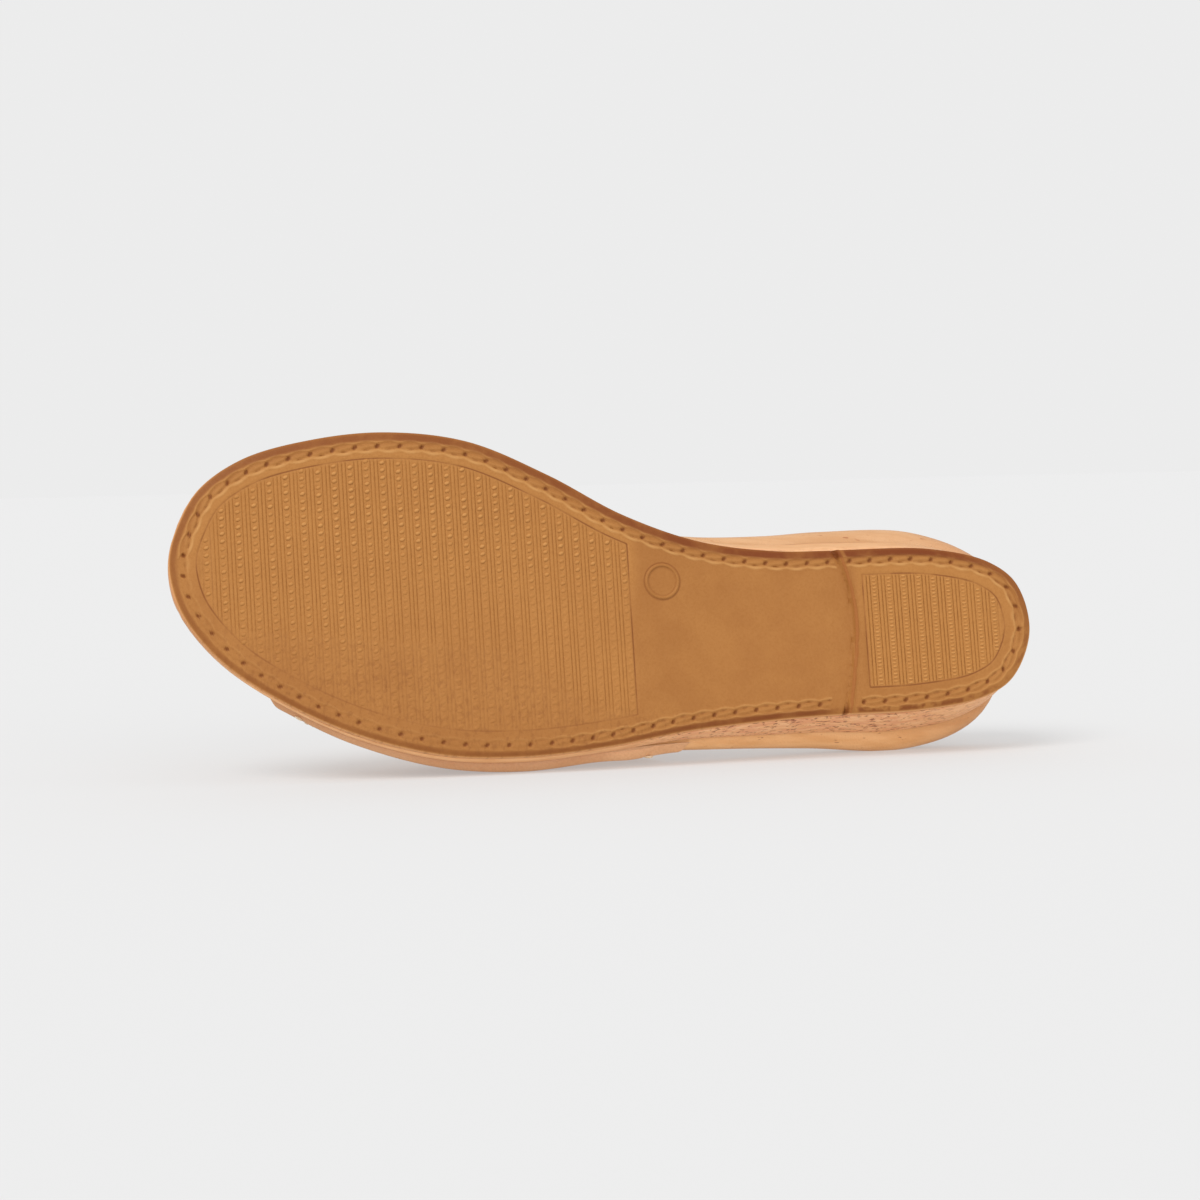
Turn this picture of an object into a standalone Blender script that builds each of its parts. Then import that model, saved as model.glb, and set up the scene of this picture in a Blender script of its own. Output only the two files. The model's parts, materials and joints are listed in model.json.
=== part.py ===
"""A right-foot slide sandal with a low wedge, lying on its outer side.

Sizes are millimetres in the shoe's own frame until MM turns them into metres: x runs from
the back of the heel to the toe, y from the outer to the inner side of the foot, z from the
ground up. The finished pieces are laid down together on the outer side.
"""

import math
from collections import namedtuple

import bmesh
import bpy
from mathutils import Matrix, Vector

MM = 0.001
GAP = 0.3

# Outsole
SOLE_EDGE_INSET = 3.2
SOLE_EDGE_KNEE_INSET = 1.1
SOLE_EDGE_KNEE_RISE = 0.45
SOLE_EDGE_RISE = 1.6
BREAST_X = 57.0
BREAST_SLACK = 0.45
BREAST_STEP = 1.2
BREAST_BOW = 5.0
BREAST_BOW_REACH = 9.0
WAIST_LIFT = 1.6
WAIST_MIDDLE_X = 84.0
WAIST_FRONT_X = 122.0
SPRING_START_X = 172.0
SPRING_END_X = 243.2
SPRING_RISE = 6.0

# Wedge and footbed
RIM = 0.3
WEDGE_BULGE = 0.2
BED_UNDERCUT = 0.6
BED_SIDE_INSET = 0.6
BED_SHOULDER_INSET = 1.3
BED_TOP_INSET = 2.4
INSOLE_INSET = 2.0
INSOLE_THICKNESS = 1.4
INSOLE_EDGE = 0.6
DISH_FADE = 14.0

# Upper
WALL = 2.6
UPPER_RISE_SHARE = 0.25
UPPER_BASE_LIFT = 0.5
REAR_EDGE_LATERAL_X = 100.5
REAR_EDGE_MEDIAL_X = 117.0
REAR_EDGE_BOW = 10.0
FRONT_EDGE_LATERAL_X = 212.3
FRONT_EDGE_MEDIAL_X = 211.0
FRONT_EDGE_BOW = 17.0
RISE_PART = 0.1
SIDE_PART = 0.42
CROWN_HANDLE = 0.58
GIRTH_STEPS = 36
LENGTH_STEPS = 22

# Least sideways share of the normal of a face to lie on
LYING_SIDE = 0.9

# Mesh steps between two rows of the table, and across a sole
ROW_STEPS = 3
SOLE_COLUMNS = 8

# Outlines and heights of the sole, a row for each cross-section.
# Columns in pairs are the medial and the lateral edge of the outsole, of the wedge's top
# and of the footbed; then come the top of the outsole without its spring, the thickness
# of wedge and footbed, and how deep the footbed's top is dished.
Section = namedtuple(
    "Section",
    "x sole_med sole_lat wedge_med wedge_lat bed_med bed_lat sole_top wedge bed dish",
)
SECTIONS = [
    Section(3.5, 14.1, -12.6, 16.9, -15.8, 20.2, -19.4, 5.0, 13.0, 11.0, 1.2),
    Section(12.0, 19.7, -19.0, 22.6, -22.9, 26.1, -27.4, 5.0, 13.0, 11.0, 2.0),
    Section(30.0, 22.0, -24.0, 26.0, -28.5, 30.2, -33.8, 5.0, 12.8, 11.0, 2.4),
    Section(57.0, 19.4, -27.6, 23.8, -31.4, 27.5, -35.5, 5.0, 11.0, 10.2, 2.1),
    Section(75.0, 17.7, -30.5, 21.3, -33.7, 24.3, -37.0, 4.8, 9.2, 9.0, 1.6),
    Section(98.0, 18.5, -35.1, 20.4, -36.9, 21.6, -39.4, 4.5, 6.6, 7.4, 1.0),
    Section(120.0, 23.8, -41.0, 24.9, -42.0, 21.9, -41.6, 4.2, 4.2, 6.0, 0.7),
    Section(142.0, 33.1, -45.3, 34.0, -46.4, 30.2, -46.0, 4.0, 2.8, 5.0, 0.6),
    Section(165.0, 40.3, -46.5, 41.2, -47.5, 38.1, -46.7, 4.0, 2.3, 4.6, 0.6),
    Section(188.0, 40.8, -42.9, 41.6, -43.7, 38.9, -42.4, 4.0, 2.2, 4.4, 0.6),
    Section(208.0, 36.9, -35.9, 37.6, -36.5, 34.9, -35.0, 4.0, 2.2, 4.2, 0.5),
    Section(226.0, 29.9, -26.0, 30.5, -26.5, 28.9, -25.8, 4.0, 2.2, 4.0, 0.4),
    Section(237.0, 20.6, -15.4, 21.2, -15.9, 20.0, -15.4, 4.0, 2.2, 4.0, 0.3),
    Section(241.5, 11.4, -7.5, 12.0, -8.1, 11.3, -7.8, 4.0, 2.2, 4.0, 0.2),
]
BREAST_ROW = 3
BREAST_STEPS = (0.0, 0.04, 0.36, 0.68)

# End points of the three outlines on the shoe's long axis
Ends = namedtuple("Ends", "heel toe")
SOLE_ENDS = Ends((-0.9, 1.0), (242.9, 1.5))
WEDGE_ENDS = Ends((-1.6, 0.8), (243.3, 1.5))
BED_ENDS = Ends((-2.5, 0.6), (242.6, 1.5))

# The inner face of the upper, a row for each cross-section: the crown's place across the
# foot and its height, how high the straight sides go, and how far they lean in
Arch = namedtuple("Arch", "x crown_y crown_z side_height lean_lat lean_med")
ARCHES = [
    Arch(96.0, -3.0, 73.0, 27.0, 9.0, 9.0),
    Arch(120.0, -2.0, 66.5, 25.0, 9.0, 8.0),
    Arch(145.0, 1.0, 56.5, 22.0, 9.0, 7.0),
    Arch(170.0, 3.0, 48.0, 18.0, 9.0, 6.0),
    Arch(195.0, 4.0, 41.5, 13.0, 10.0, 7.0),
    Arch(220.0, 4.5, 37.0, 8.0, 12.0, 9.0),
]

# Base colour of each piece
OUTSOLE_TAN = (0.49, 0.21, 0.065)
CORK_TAN = (0.62, 0.32, 0.15)
FOOTBED_TAN = (0.65, 0.34, 0.16)
INSOLE_TAN = (0.58, 0.31, 0.15)
UPPER_TAN = (0.52, 0.28, 0.14)


def clear_scene():
    for obj in list(bpy.data.objects):
        bpy.data.objects.remove(obj, do_unlink=True)


def clamp01(value):
    return min(1.0, max(0.0, value))


def ease(value):
    """A smooth step from 0 to 1."""
    t = clamp01(value)
    return t * t * (3.0 - 2.0 * t)


def column_at(rows, column, x):
    """A table column read at x, on a smooth curve through its rows."""
    last = len(rows) - 1
    x = min(rows[last].x, max(rows[0].x, x))
    i = max(k for k in range(last) if rows[k].x <= x)

    def slope(k):
        a, b = rows[max(k - 1, 0)], rows[min(k + 1, last)]
        return (getattr(b, column) - getattr(a, column)) / (b.x - a.x)

    width = rows[i + 1].x - rows[i].x
    t = (x - rows[i].x) / width
    start, end = getattr(rows[i], column), getattr(rows[i + 1], column)
    rise_start, rise_end = slope(i) * width, slope(i + 1) * width
    bend = 3.0 * (end - start) - 2.0 * rise_start - rise_end
    twist = rise_start + rise_end - 2.0 * (end - start)
    return start + t * (rise_start + t * (bend + t * twist))


def spring(x):
    """How far the toe curves up from the ground."""
    return SPRING_RISE * clamp01((x - SPRING_START_X) / (SPRING_END_X - SPRING_START_X)) ** 2


def ground(x):
    """Height of the sole's lower face: flat heel, stepped waist, flat forefoot, toe spring."""
    if x <= BREAST_X + BREAST_SLACK:
        return 0.0
    if x < WAIST_MIDDLE_X:
        reach = (x - BREAST_X) / (WAIST_MIDDLE_X - BREAST_X)
        return BREAST_STEP + (WAIST_LIFT - BREAST_STEP) * ease(reach)
    fall = ease((x - WAIST_MIDDLE_X) / (WAIST_FRONT_X - WAIST_MIDDLE_X))
    return WAIST_LIFT * (1.0 - fall) + spring(x)


def sole_top(x):
    return column_at(SECTIONS, "sole_top", x) + spring(x)


def wedge_bottom(x):
    return sole_top(x) + GAP


def wedge_top(x):
    return wedge_bottom(x) + column_at(SECTIONS, "wedge", x)


def bed_bottom(x):
    return wedge_top(x) + GAP


def bed_height(x, share):
    """Height in the footbed, from its bottom (share 0) to the rim of its top (share 1)."""
    return bed_bottom(x) + column_at(SECTIONS, "bed", x) * share


def spline_point(a, b, c, d, t):
    """A centripetal spline through four points, read between the middle two."""
    k0 = 0.0
    k1 = k0 + math.sqrt((b - a).length)
    k2 = k1 + math.sqrt((c - b).length)
    k3 = k2 + math.sqrt((d - c).length)
    k = k1 + (k2 - k1) * t
    ab = a.lerp(b, (k - k0) / (k1 - k0))
    bc = b.lerp(c, (k - k1) / (k2 - k1))
    cd = c.lerp(d, (k - k2) / (k3 - k2))
    abc = ab.lerp(bc, (k - k0) / (k2 - k0))
    bcd = bc.lerp(cd, (k - k1) / (k3 - k1))
    return abc.lerp(bcd, (k - k1) / (k2 - k1))


def steps_after(row):
    if row == BREAST_ROW:
        return BREAST_STEPS
    return [step / ROW_STEPS for step in range(ROW_STEPS)]


def side_points(edge, before, after):
    """Points of one side of an outline, between its end points and without them."""
    knots = [before, *edge, after]
    points = []
    for i in range(1, len(edge)):
        for t in steps_after(i - 2):
            points.append(spline_point(*knots[i - 1 : i + 3], t))
    return points[1:]


def outline(medial, lateral, ends):
    """A closed outline: heel tip, lateral points, toe tip, medial points back to the heel."""
    heel, toe = Vector(ends.heel), Vector(ends.toe)
    lat = [heel] + [Vector((row.x, getattr(row, lateral))) for row in SECTIONS] + [toe]
    med = [heel] + [Vector((row.x, getattr(row, medial))) for row in SECTIONS] + [toe]
    lat_side = side_points(lat, med[1], med[-2])
    med_side = side_points(med, lat[1], lat[-2])
    return [heel, *lat_side, toe, *reversed(med_side)]


def outward(ring):
    """The outline's outward direction at each of its points."""
    pairs = zip([ring[-1], *ring[:-1]], [*ring[1:], ring[0]])
    along = [(after - before).normalized() for before, after in pairs]
    return [Vector((step.y, -step.x)) for step in along]


def grown(ring, distance):
    """The outline moved outwards; a distance under 0 moves it in."""
    return [point + out * distance for point, out in zip(ring, outward(ring))]


def mixed(ring, other, share):
    return [a.lerp(b, share) for a, b in zip(ring, other)]


def raised(ring, height):
    return [Vector((p.x, p.y, height(p.x))) for p in ring]


def close_end(bm, ring, columns, shape):
    """Faces across a ring of vertices, as a ladder from its lateral to its medial side."""
    rungs = len(ring) // 2 - 1
    lines = []
    for i in range(1, rungs + 1):
        lat, med = ring[i], ring[-i]
        line = [lat]
        for c in range(1, columns):
            share = c / columns
            point = shape(lat.co.lerp(med.co, share), 2.0 * share - 1.0)
            line.append(bm.verts.new(point))
        lines.append(line + [med])
    heel, toe = ring[0], ring[rungs + 1]
    for c in range(columns):
        bm.faces.new((heel, lines[0][c], lines[0][c + 1]))
        bm.faces.new((lines[-1][c], toe, lines[-1][c + 1]))
        for a, b in zip(lines, lines[1:]):
            bm.faces.new((a[c], b[c], b[c + 1], a[c + 1]))


def flat(point, across):
    return point


def loft(name, rings, bottom, top, material):
    """A closed solid through rings of equal count, with (columns, shape) for each end."""
    bm = bmesh.new()
    loops = [[bm.verts.new(p) for p in ring] for ring in rings]
    for low, high in zip(loops, loops[1:]):
        for i in range(len(low)):
            bm.faces.new((low[i - 1], low[i], high[i], high[i - 1]))
    close_end(bm, loops[0], *bottom)
    close_end(bm, loops[-1], *top)
    bmesh.ops.recalc_face_normals(bm, faces=bm.faces)
    return finished(name, bm, material)


def finished(name, bm, material):
    """The mesh in metres as an object of the sandal's collection."""
    bmesh.ops.scale(bm, vec=(MM, MM, MM), verts=bm.verts)
    mesh = bpy.data.meshes.new(name)
    bm.to_mesh(mesh)
    bm.free()
    mesh.shade_smooth()
    mesh.set_sharp_from_angle(angle=math.radians(35))
    mesh.materials.append(material)
    obj = bpy.data.objects.new(name, mesh)
    sandal.objects.link(obj)
    return obj


def finish(name, colour, roughness):
    material = bpy.data.materials.new(name)
    material.use_nodes = True
    shader = material.node_tree.nodes["Principled BSDF"]
    shader.inputs["Base Color"].default_value = (*colour, 1.0)
    shader.inputs["Roughness"].default_value = roughness
    shader.inputs["Metallic"].default_value = 0.0
    return material


def bowed_breast(point, across):
    """The breast of the heel pad bows towards the heel in the middle of the sole."""
    near = math.exp(-(((point.x - BREAST_X) / BREAST_BOW_REACH) ** 2))
    return point - Vector((BREAST_BOW * near * (1.0 - across * across), 0.0, 0.0))


def dish_depth(x):
    """Depth of the footbed's dish on its middle line, fading out at heel and toe."""
    heel, toe = BED_ENDS.heel[0], BED_ENDS.toe[0]
    fade = ease((x - heel) / DISH_FADE) * ease((toe - x) / DISH_FADE)
    return column_at(SECTIONS, "dish", x) * fade


def dished(point, across):
    return point - Vector((0.0, 0.0, dish_depth(point.x) * (1.0 - across * across)))


def sock_share(x):
    """The insole's half width as a share of the dished half width."""
    width = column_at(SECTIONS, "bed_med", x) - column_at(SECTIONS, "bed_lat", x)
    return 1.0 - INSOLE_INSET / (0.5 * width - BED_TOP_INSET)


def dished_sock(point, across):
    depth = dish_depth(point.x) * sock_share(point.x) ** 2
    return point - Vector((0.0, 0.0, depth * (1.0 - across * across)))


def sock_edge_height(x):
    """Height of the dished footbed under the insole's edge."""
    return bed_height(x, 1.0) - dish_depth(x) * (1.0 - sock_share(x) ** 2)


def make_outsole():
    edge = outline("sole_med", "sole_lat", SOLE_ENDS)
    knee = grown(edge, -SOLE_EDGE_KNEE_INSET)
    rings = [
        raised(grown(edge, -SOLE_EDGE_INSET), ground),
        raised(knee, lambda x: ground(x) + SOLE_EDGE_KNEE_RISE),
        raised(edge, lambda x: ground(x) + SOLE_EDGE_RISE),
        raised(edge, sole_top),
    ]
    material = finish("moulded_outsole", OUTSOLE_TAN, 0.55)
    return loft("outsole", rings, (SOLE_COLUMNS, bowed_breast), (2, flat), material)


def make_wedge():
    low = grown(outline("sole_med", "sole_lat", SOLE_ENDS), RIM)
    high = outline("wedge_med", "wedge_lat", WEDGE_ENDS)
    middle = grown(mixed(low, high, 0.5), WEDGE_BULGE)
    rings = [
        raised(low, wedge_bottom),
        raised(middle, lambda x: 0.5 * (wedge_bottom(x) + wedge_top(x))),
        raised(high, wedge_top),
    ]
    material = finish("cork_wedge", CORK_TAN, 0.6)
    return loft("wedge", rings, (2, flat), (2, flat), material)


def bed_edge():
    return outline("bed_med", "bed_lat", BED_ENDS)


def bed_foot():
    """The footbed's lower edge: tucked in over the wedge's top, and never wider than it."""
    inner = grown(bed_edge(), -BED_UNDERCUT)
    over = outline("wedge_med", "wedge_lat", WEDGE_ENDS)
    foot = []
    for point, wide, out in zip(inner, over, outward(inner)):
        room = (wide - point).dot(out) - BED_UNDERCUT
        foot.append(point + out * min(room, 0.0))
    return foot


def make_footbed():
    edge = bed_edge()
    foot = bed_foot()
    rings = [
        raised(foot, bed_bottom),
        raised(mixed(foot, edge, 0.7), lambda x: bed_height(x, 0.16)),
        raised(edge, lambda x: bed_height(x, 0.42)),
        raised(grown(edge, -BED_SIDE_INSET), lambda x: bed_height(x, 0.72)),
        raised(grown(edge, -BED_SHOULDER_INSET), lambda x: bed_height(x, 0.92)),
        raised(grown(edge, -BED_TOP_INSET), lambda x: bed_height(x, 1.0)),
    ]
    material = finish("wrapped_footbed", FOOTBED_TAN, 0.45)
    return loft("footbed", rings, (2, flat), (SOLE_COLUMNS, dished), material)


def make_insole():
    """The sock follows the footbed's dish at an even thickness."""
    edge = grown(bed_edge(), -BED_TOP_INSET - INSOLE_INSET)
    rings = [
        raised(edge, lambda x: sock_edge_height(x) + GAP),
        raised(edge, lambda x: sock_edge_height(x) + GAP + INSOLE_THICKNESS - INSOLE_EDGE),
        raised(grown(edge, -INSOLE_EDGE), lambda x: sock_edge_height(x) + GAP + INSOLE_THICKNESS),
    ]
    material = finish("leather_insole", INSOLE_TAN, 0.5)
    dish = (SOLE_COLUMNS, dished_sock)
    return loft("insole", rings, dish, dish, material)


def arch_half(x, edge, crown, lean, part):
    """One half of the upper's inner face at x: part 0 is its base, part 1 its crown."""
    base = bed_bottom(x) + UPPER_BASE_LIFT
    knee = bed_height(x, UPPER_RISE_SHARE)
    towards = 1.0 if crown.x > edge else -1.0
    side = column_at(ARCHES, "side_height", x)
    shoulder = Vector((edge + towards * side * math.tan(math.radians(lean)), knee + side))
    if part < RISE_PART:
        return Vector((edge, base + (knee - base) * part / RISE_PART))
    if part < SIDE_PART:
        share = (part - RISE_PART) / (SIDE_PART - RISE_PART)
        return Vector((edge, knee)).lerp(shoulder, share)
    rise = crown.y - shoulder.y
    upward = Vector((towards * math.tan(math.radians(lean)), 1.0)) * rise * CROWN_HANDLE
    level = Vector((crown.x - (crown.x - shoulder.x) * CROWN_HANDLE, crown.y))
    t = (part - SIDE_PART) / (1.0 - SIDE_PART)
    s = 1.0 - t
    return (
        shoulder * s**3
        + (shoulder + upward) * 3.0 * s * s * t
        + level * 3.0 * s * t * t
        + crown * t**3
    )


def upper_point(girth, length):
    """Inner face of the upper: girth 0 to 1 over the foot, length 0 to 1 from rear to front."""
    bow = math.sin(math.pi * girth)
    rear = REAR_EDGE_LATERAL_X + (REAR_EDGE_MEDIAL_X - REAR_EDGE_LATERAL_X) * girth
    front = FRONT_EDGE_LATERAL_X + (FRONT_EDGE_MEDIAL_X - FRONT_EDGE_LATERAL_X) * girth
    rear += REAR_EDGE_BOW * bow
    front -= FRONT_EDGE_BOW * bow
    x = rear + (front - rear) * length
    crown = Vector((column_at(ARCHES, "crown_y", x), column_at(ARCHES, "crown_z", x)))
    if girth <= 0.5:
        edge = column_at(SECTIONS, "bed_lat", x) - GAP
        point = arch_half(x, edge, crown, column_at(ARCHES, "lean_lat", x), girth * 2.0)
    else:
        edge = column_at(SECTIONS, "bed_med", x) + GAP
        lean = column_at(ARCHES, "lean_med", x)
        point = arch_half(x, edge, crown, lean, (1.0 - girth) * 2.0)
    return Vector((x, point.x, point.y))


def make_upper():
    """One open band over the forefoot, thickened outwards from its inner face."""
    bm = bmesh.new()
    bmesh.ops.create_grid(bm, x_segments=GIRTH_STEPS, y_segments=LENGTH_STEPS, size=0.5)
    for vert in bm.verts:
        vert.co = upper_point(vert.co.x + 0.5, vert.co.y + 0.5)
    bmesh.ops.recalc_face_normals(bm, faces=bm.faces)
    obj = finished("upper", bm, finish("band_leather", UPPER_TAN, 0.5))
    wall = obj.modifiers.new("wall", "SOLIDIFY")
    wall.thickness = WALL * MM
    wall.offset = 1.0
    wall.use_even_offset = True
    return obj


def world_faces(pieces):
    """Corners of every evaluated triangle of the pieces."""
    graph = bpy.context.evaluated_depsgraph_get()
    corners = []
    for piece in pieces:
        mesh = piece.evaluated_get(graph).to_mesh()
        mesh.calc_loop_triangles()
        for triangle in mesh.loop_triangles:
            corners.append([mesh.vertices[i].co.copy() for i in triangle.vertices])
        piece.evaluated_get(graph).to_mesh_clear()
    return corners


def middle_of_mass(corners):
    """Centre of the enclosed volume, summed over tetrahedra to the origin."""
    volume = 0.0
    moment = Vector()
    for a, b, c in corners:
        part = a.dot(b.cross(c)) / 6.0
        volume += part
        moment += part * (a + b + c) / 4.0
    return moment / volume


def hold(face, centre):
    """How far inside a hull face the centre lands when it drops onto it; under 0 is outside."""
    foot = centre - face.normal * (centre - face.verts[0].co).dot(face.normal)
    distances = []
    for loop in face.loops:
        start, end = loop.vert.co, loop.link_loop_next.vert.co
        inward = face.normal.cross(end - start).normalized()
        distances.append((foot - start).dot(inward))
    return min(distances)


def resting_normal(corners):
    """Outward normal of the lateral hull face on which the shoe lies most steadily."""
    hull = bmesh.new()
    for corner in {point.to_tuple(6) for triangle in corners for point in triangle}:
        hull.verts.new(corner)
    bmesh.ops.convex_hull(hull, input=hull.verts)
    hull.normal_update()
    centre = middle_of_mass(corners)
    sides = [face for face in hull.faces if -face.normal.y > LYING_SIDE]
    normal = max(sides, key=lambda face: hold(face, centre)).normal.copy()
    hull.free()
    return normal


def lay_down(pieces):
    """Parents the pieces to an empty that lays them on the floor, toe to the left."""
    corners = world_faces(pieces)
    up = -resting_normal(corners)
    toe = Vector((1.0, 0.0, 0.0))
    left = (toe - up * toe.dot(up)).normalized()
    turn = Matrix((-left, up.cross(-left), up))
    points = [turn @ point for triangle in corners for point in triangle]
    low = Vector([min(p[axis] for p in points) for axis in range(3)])
    high = Vector([max(p[axis] for p in points) for axis in range(3)])
    resting = bpy.data.objects.new("resting_pose", None)
    sandal.objects.link(resting)
    resting.rotation_euler = turn.to_euler()
    resting.location = Vector((-0.5 * (low.x + high.x), -0.5 * (low.y + high.y), -low.z))
    for piece in pieces:
        piece.parent = resting


clear_scene()
sandal = bpy.data.collections.new("slide_sandal")
bpy.context.scene.collection.children.link(sandal)
lay_down([make_outsole(), make_wedge(), make_footbed(), make_insole(), make_upper()])
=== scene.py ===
"""The looks of a right-foot slide sandal with a low wedge, lying on its outer side.

Sizes are millimetres in the shoe's own frame until SHOE sets them in the row frame: x runs
from the back of the heel to the toe, y from the outer to the inner side of the foot, z from
the ground up. Five pieces stand for the five solids; beads, ring and stitches are added to them.
"""

import functools
import json
import math
from collections import namedtuple

import bmesh
import bpy
import numpy as np
from mathutils import Matrix, Vector
from mathutils.kdtree import KDTree


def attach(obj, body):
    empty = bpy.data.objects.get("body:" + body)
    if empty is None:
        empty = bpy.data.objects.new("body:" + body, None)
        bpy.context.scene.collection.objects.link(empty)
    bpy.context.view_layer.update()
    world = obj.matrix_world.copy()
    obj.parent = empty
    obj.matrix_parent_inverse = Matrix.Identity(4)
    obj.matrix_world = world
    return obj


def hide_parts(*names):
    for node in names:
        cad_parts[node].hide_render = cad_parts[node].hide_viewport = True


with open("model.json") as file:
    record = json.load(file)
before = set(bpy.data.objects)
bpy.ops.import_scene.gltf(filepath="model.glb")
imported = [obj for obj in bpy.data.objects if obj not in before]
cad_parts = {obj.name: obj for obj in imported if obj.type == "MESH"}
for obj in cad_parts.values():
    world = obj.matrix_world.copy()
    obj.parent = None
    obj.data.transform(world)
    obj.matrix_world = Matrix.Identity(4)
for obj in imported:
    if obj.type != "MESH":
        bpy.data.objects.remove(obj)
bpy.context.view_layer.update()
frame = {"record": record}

MM = 0.001
GAP = 0.3
SEAT = 0.28
MERGE = 0.001

# Where the record's two ground contacts are on the shoe
HEEL_PAD_SPOT = Vector((28.0, -1.0, 0.0))
FOREFOOT_PAD_SPOT = Vector((150.0, -6.0, 0.0))

# Outsole
FACE_INSET = 1.2
SOLE_EDGE_INSET = 3.2
SOLE_EDGE_RISE = 0.7
SOLE_EDGE_INSETS = (0.8, 0.45, 0.18, 0.0)
SOLE_TOP_ROUNDING = 0.15
BREAST_X = 51.0
BREAST_MIDDLE_Y = -5.9
BREAST_BOW_MEDIAL = 0.0108
BREAST_BOW_LATERAL = 0.0024
BREAST_RUN = 0.8
BREAST_STEP = 1.2
WAIST_LIFT = 1.6
WAIST_MIDDLE_X = 84.0
WAIST_FRONT_X = 122.0
SPRING_START_X = 172.0
SPRING_END_X = 243.2
SPRING_RISE = 6.0

# Moulded lip along the breast of the heel, the lines beside it, the notch in the edge and the
# bare stretch of the burnish: distance from the breast, half width, and height, depth or share
Ridge = namedtuple("Ridge", "middle half_width amount")
LIP = Ridge(-0.35, 0.55, 0.2)
HEEL_LINE = Ridge(-1.5, 0.55, 0.16)
HEEL_LINE_FADE_Y = 20.0
WAIST_LINE = Ridge(0.75, 0.4, 0.15)
NOTCH = Ridge(0.6, 0.8, 0.7)
NOTCH_REACH = 4.5
BARE = Ridge(-1.4, 0.9, 0.7)

# Tread: skewed columns of beads with fine grooves beside them, inside two panels
TREAD_SKEW = 0.121
TREAD_PITCH = 4.44
FORE_PHASE = 1.29
HEEL_PHASE = 3.95
GROOVES = (0.0, 2.35, 3.35)
GROOVE_HALF_WIDTH = 0.2
GROOVE_DEPTH = 0.27
FORE_GROOVE_SHARE = 0.72
TRACK_MIDDLE = 1.18
TRACK_HALF_WIDTH = 0.98
TRACK_EDGE = 0.3
TRACK_SINK = 0.16
TRACK_BREAKS = (0.68, 1.18, 1.68)
PANEL_INSET = 7.3
PANEL_INSET_BACK = 0.7
PANEL_BACK_RUN = 20.0
PANEL_EDGE = 0.7
CONTOUR_HALF_WIDTH = 0.28
CONTOUR_DEPTH = 0.2
HEEL_PANEL_END = 48.5
FORE_PANEL_END = 116.7
WORN_START_X = 123.0
WORN_RUN = 30.0
WORN_START_Y = -4.0
WORN_REACH = 26.0
WORN_REAR_SHIFT = 20.0
WORN_REAR_NARROWING = 12.0
WORN_SHARE = 0.75
WORN_GROOVES = 0.55
HEEL_PALENESS = 1.3

# Beads of the tread: distance between them along the column, half sizes, height and slant
Bead = namedtuple("Bead", "spacing half_length half_width height slant_deg")
FORE_BEAD = Bead(2.08, 1.0, 0.62, 0.48, -30.0)
HEEL_BEAD = Bead(1.04, 0.86, 0.4, 0.26, -10.0)
BEAD_ROOT = 0.06
BEAD_MARGIN = 0.6
BEAD_UNEVEN = 0.45
BALL_START_Y = 16.0
BALL_REACH = 22.0
BALL_SHARE = 0.74
BALL_TOE_X = 172.0
BALL_TOE_RUN = 32.0
BALL_TOE_EASE = 0.55

# Moulded stitch row that follows the sole's edge
ROW_DEPTH = 3.35
ROW_DEPTH_MEDIAL = 0.5
ROW_DEPTH_MEDIAL_HEEL = -0.2
ROW_DEPTH_BACK = 0.35
ROW_BACK_RUN = 18.0
ROW_WANDER = 0.15
ROW_WANDER_TURNS = 7
ROW_PITCH = 6.05
ROW_CHANNEL = 0.16
ROW_HALF_WIDTH = 0.6
ROW_SCALLOP = 0.5
ROW_FADE = 0.4
LINK_HALF_WIDTH = 0.72
LINK_HEIGHT = 0.24
LINK_SLANT = 0.25
LINK_FLATNESS = 0.3
SEAM_LIP_HEIGHT = 0.16
SEAM_LIP_HALF_WIDTH = 0.55
# Painted highlight on the lip inside the row: its share on the outer side, and its least share beside
# the holes
SEAM_HIGHLIGHT_LATERAL = 0.3
SEAM_HIGHLIGHT_LEAST = 0.3
# Painted highlight over the inner side's margin inside the stitch row: where it starts in from the
# edge, its run, and its fade past the panels' ends
MARGIN_START = 4.0
MARGIN_RUN = 0.8
MARGIN_FADE = 4.0
ROW_BREAK_MEDIAL = (-0.9, 1.5)
ROW_BREAK_LATERAL = (-3.0, 5.0)
FORE_ROW_SHARE = 0.45

# Needle holes of the row and the dimples inside it: half sizes along and across it, and depth
Pit = namedtuple("Pit", "half_length half_width depth")
HOLE = Pit(0.85, 0.75, 0.4)
HOLE_SLANT = 0.3
DIMPLE = Pit(1.1, 0.45, 0.2)
DIMPLE_ASIDE = 0.9

# How far the stitch row runs ahead of an even pitch, in pitches, on each side of the sole
Drift = namedtuple("Drift", "x drift_med drift_lat")
ROW_DRIFT = [
    Drift(0.0, -0.13, 0.08),
    Drift(40.0, -0.13, 0.33),
    Drift(72.0, -0.13, 0.48),
    Drift(105.0, -0.13, 0.52),
    Drift(140.0, -0.13, 0.31),
    Drift(180.0, -0.2, 0.27),
    Drift(215.0, -0.31, 0.03),
    Drift(243.0, -0.22, -0.17),
]

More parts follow.
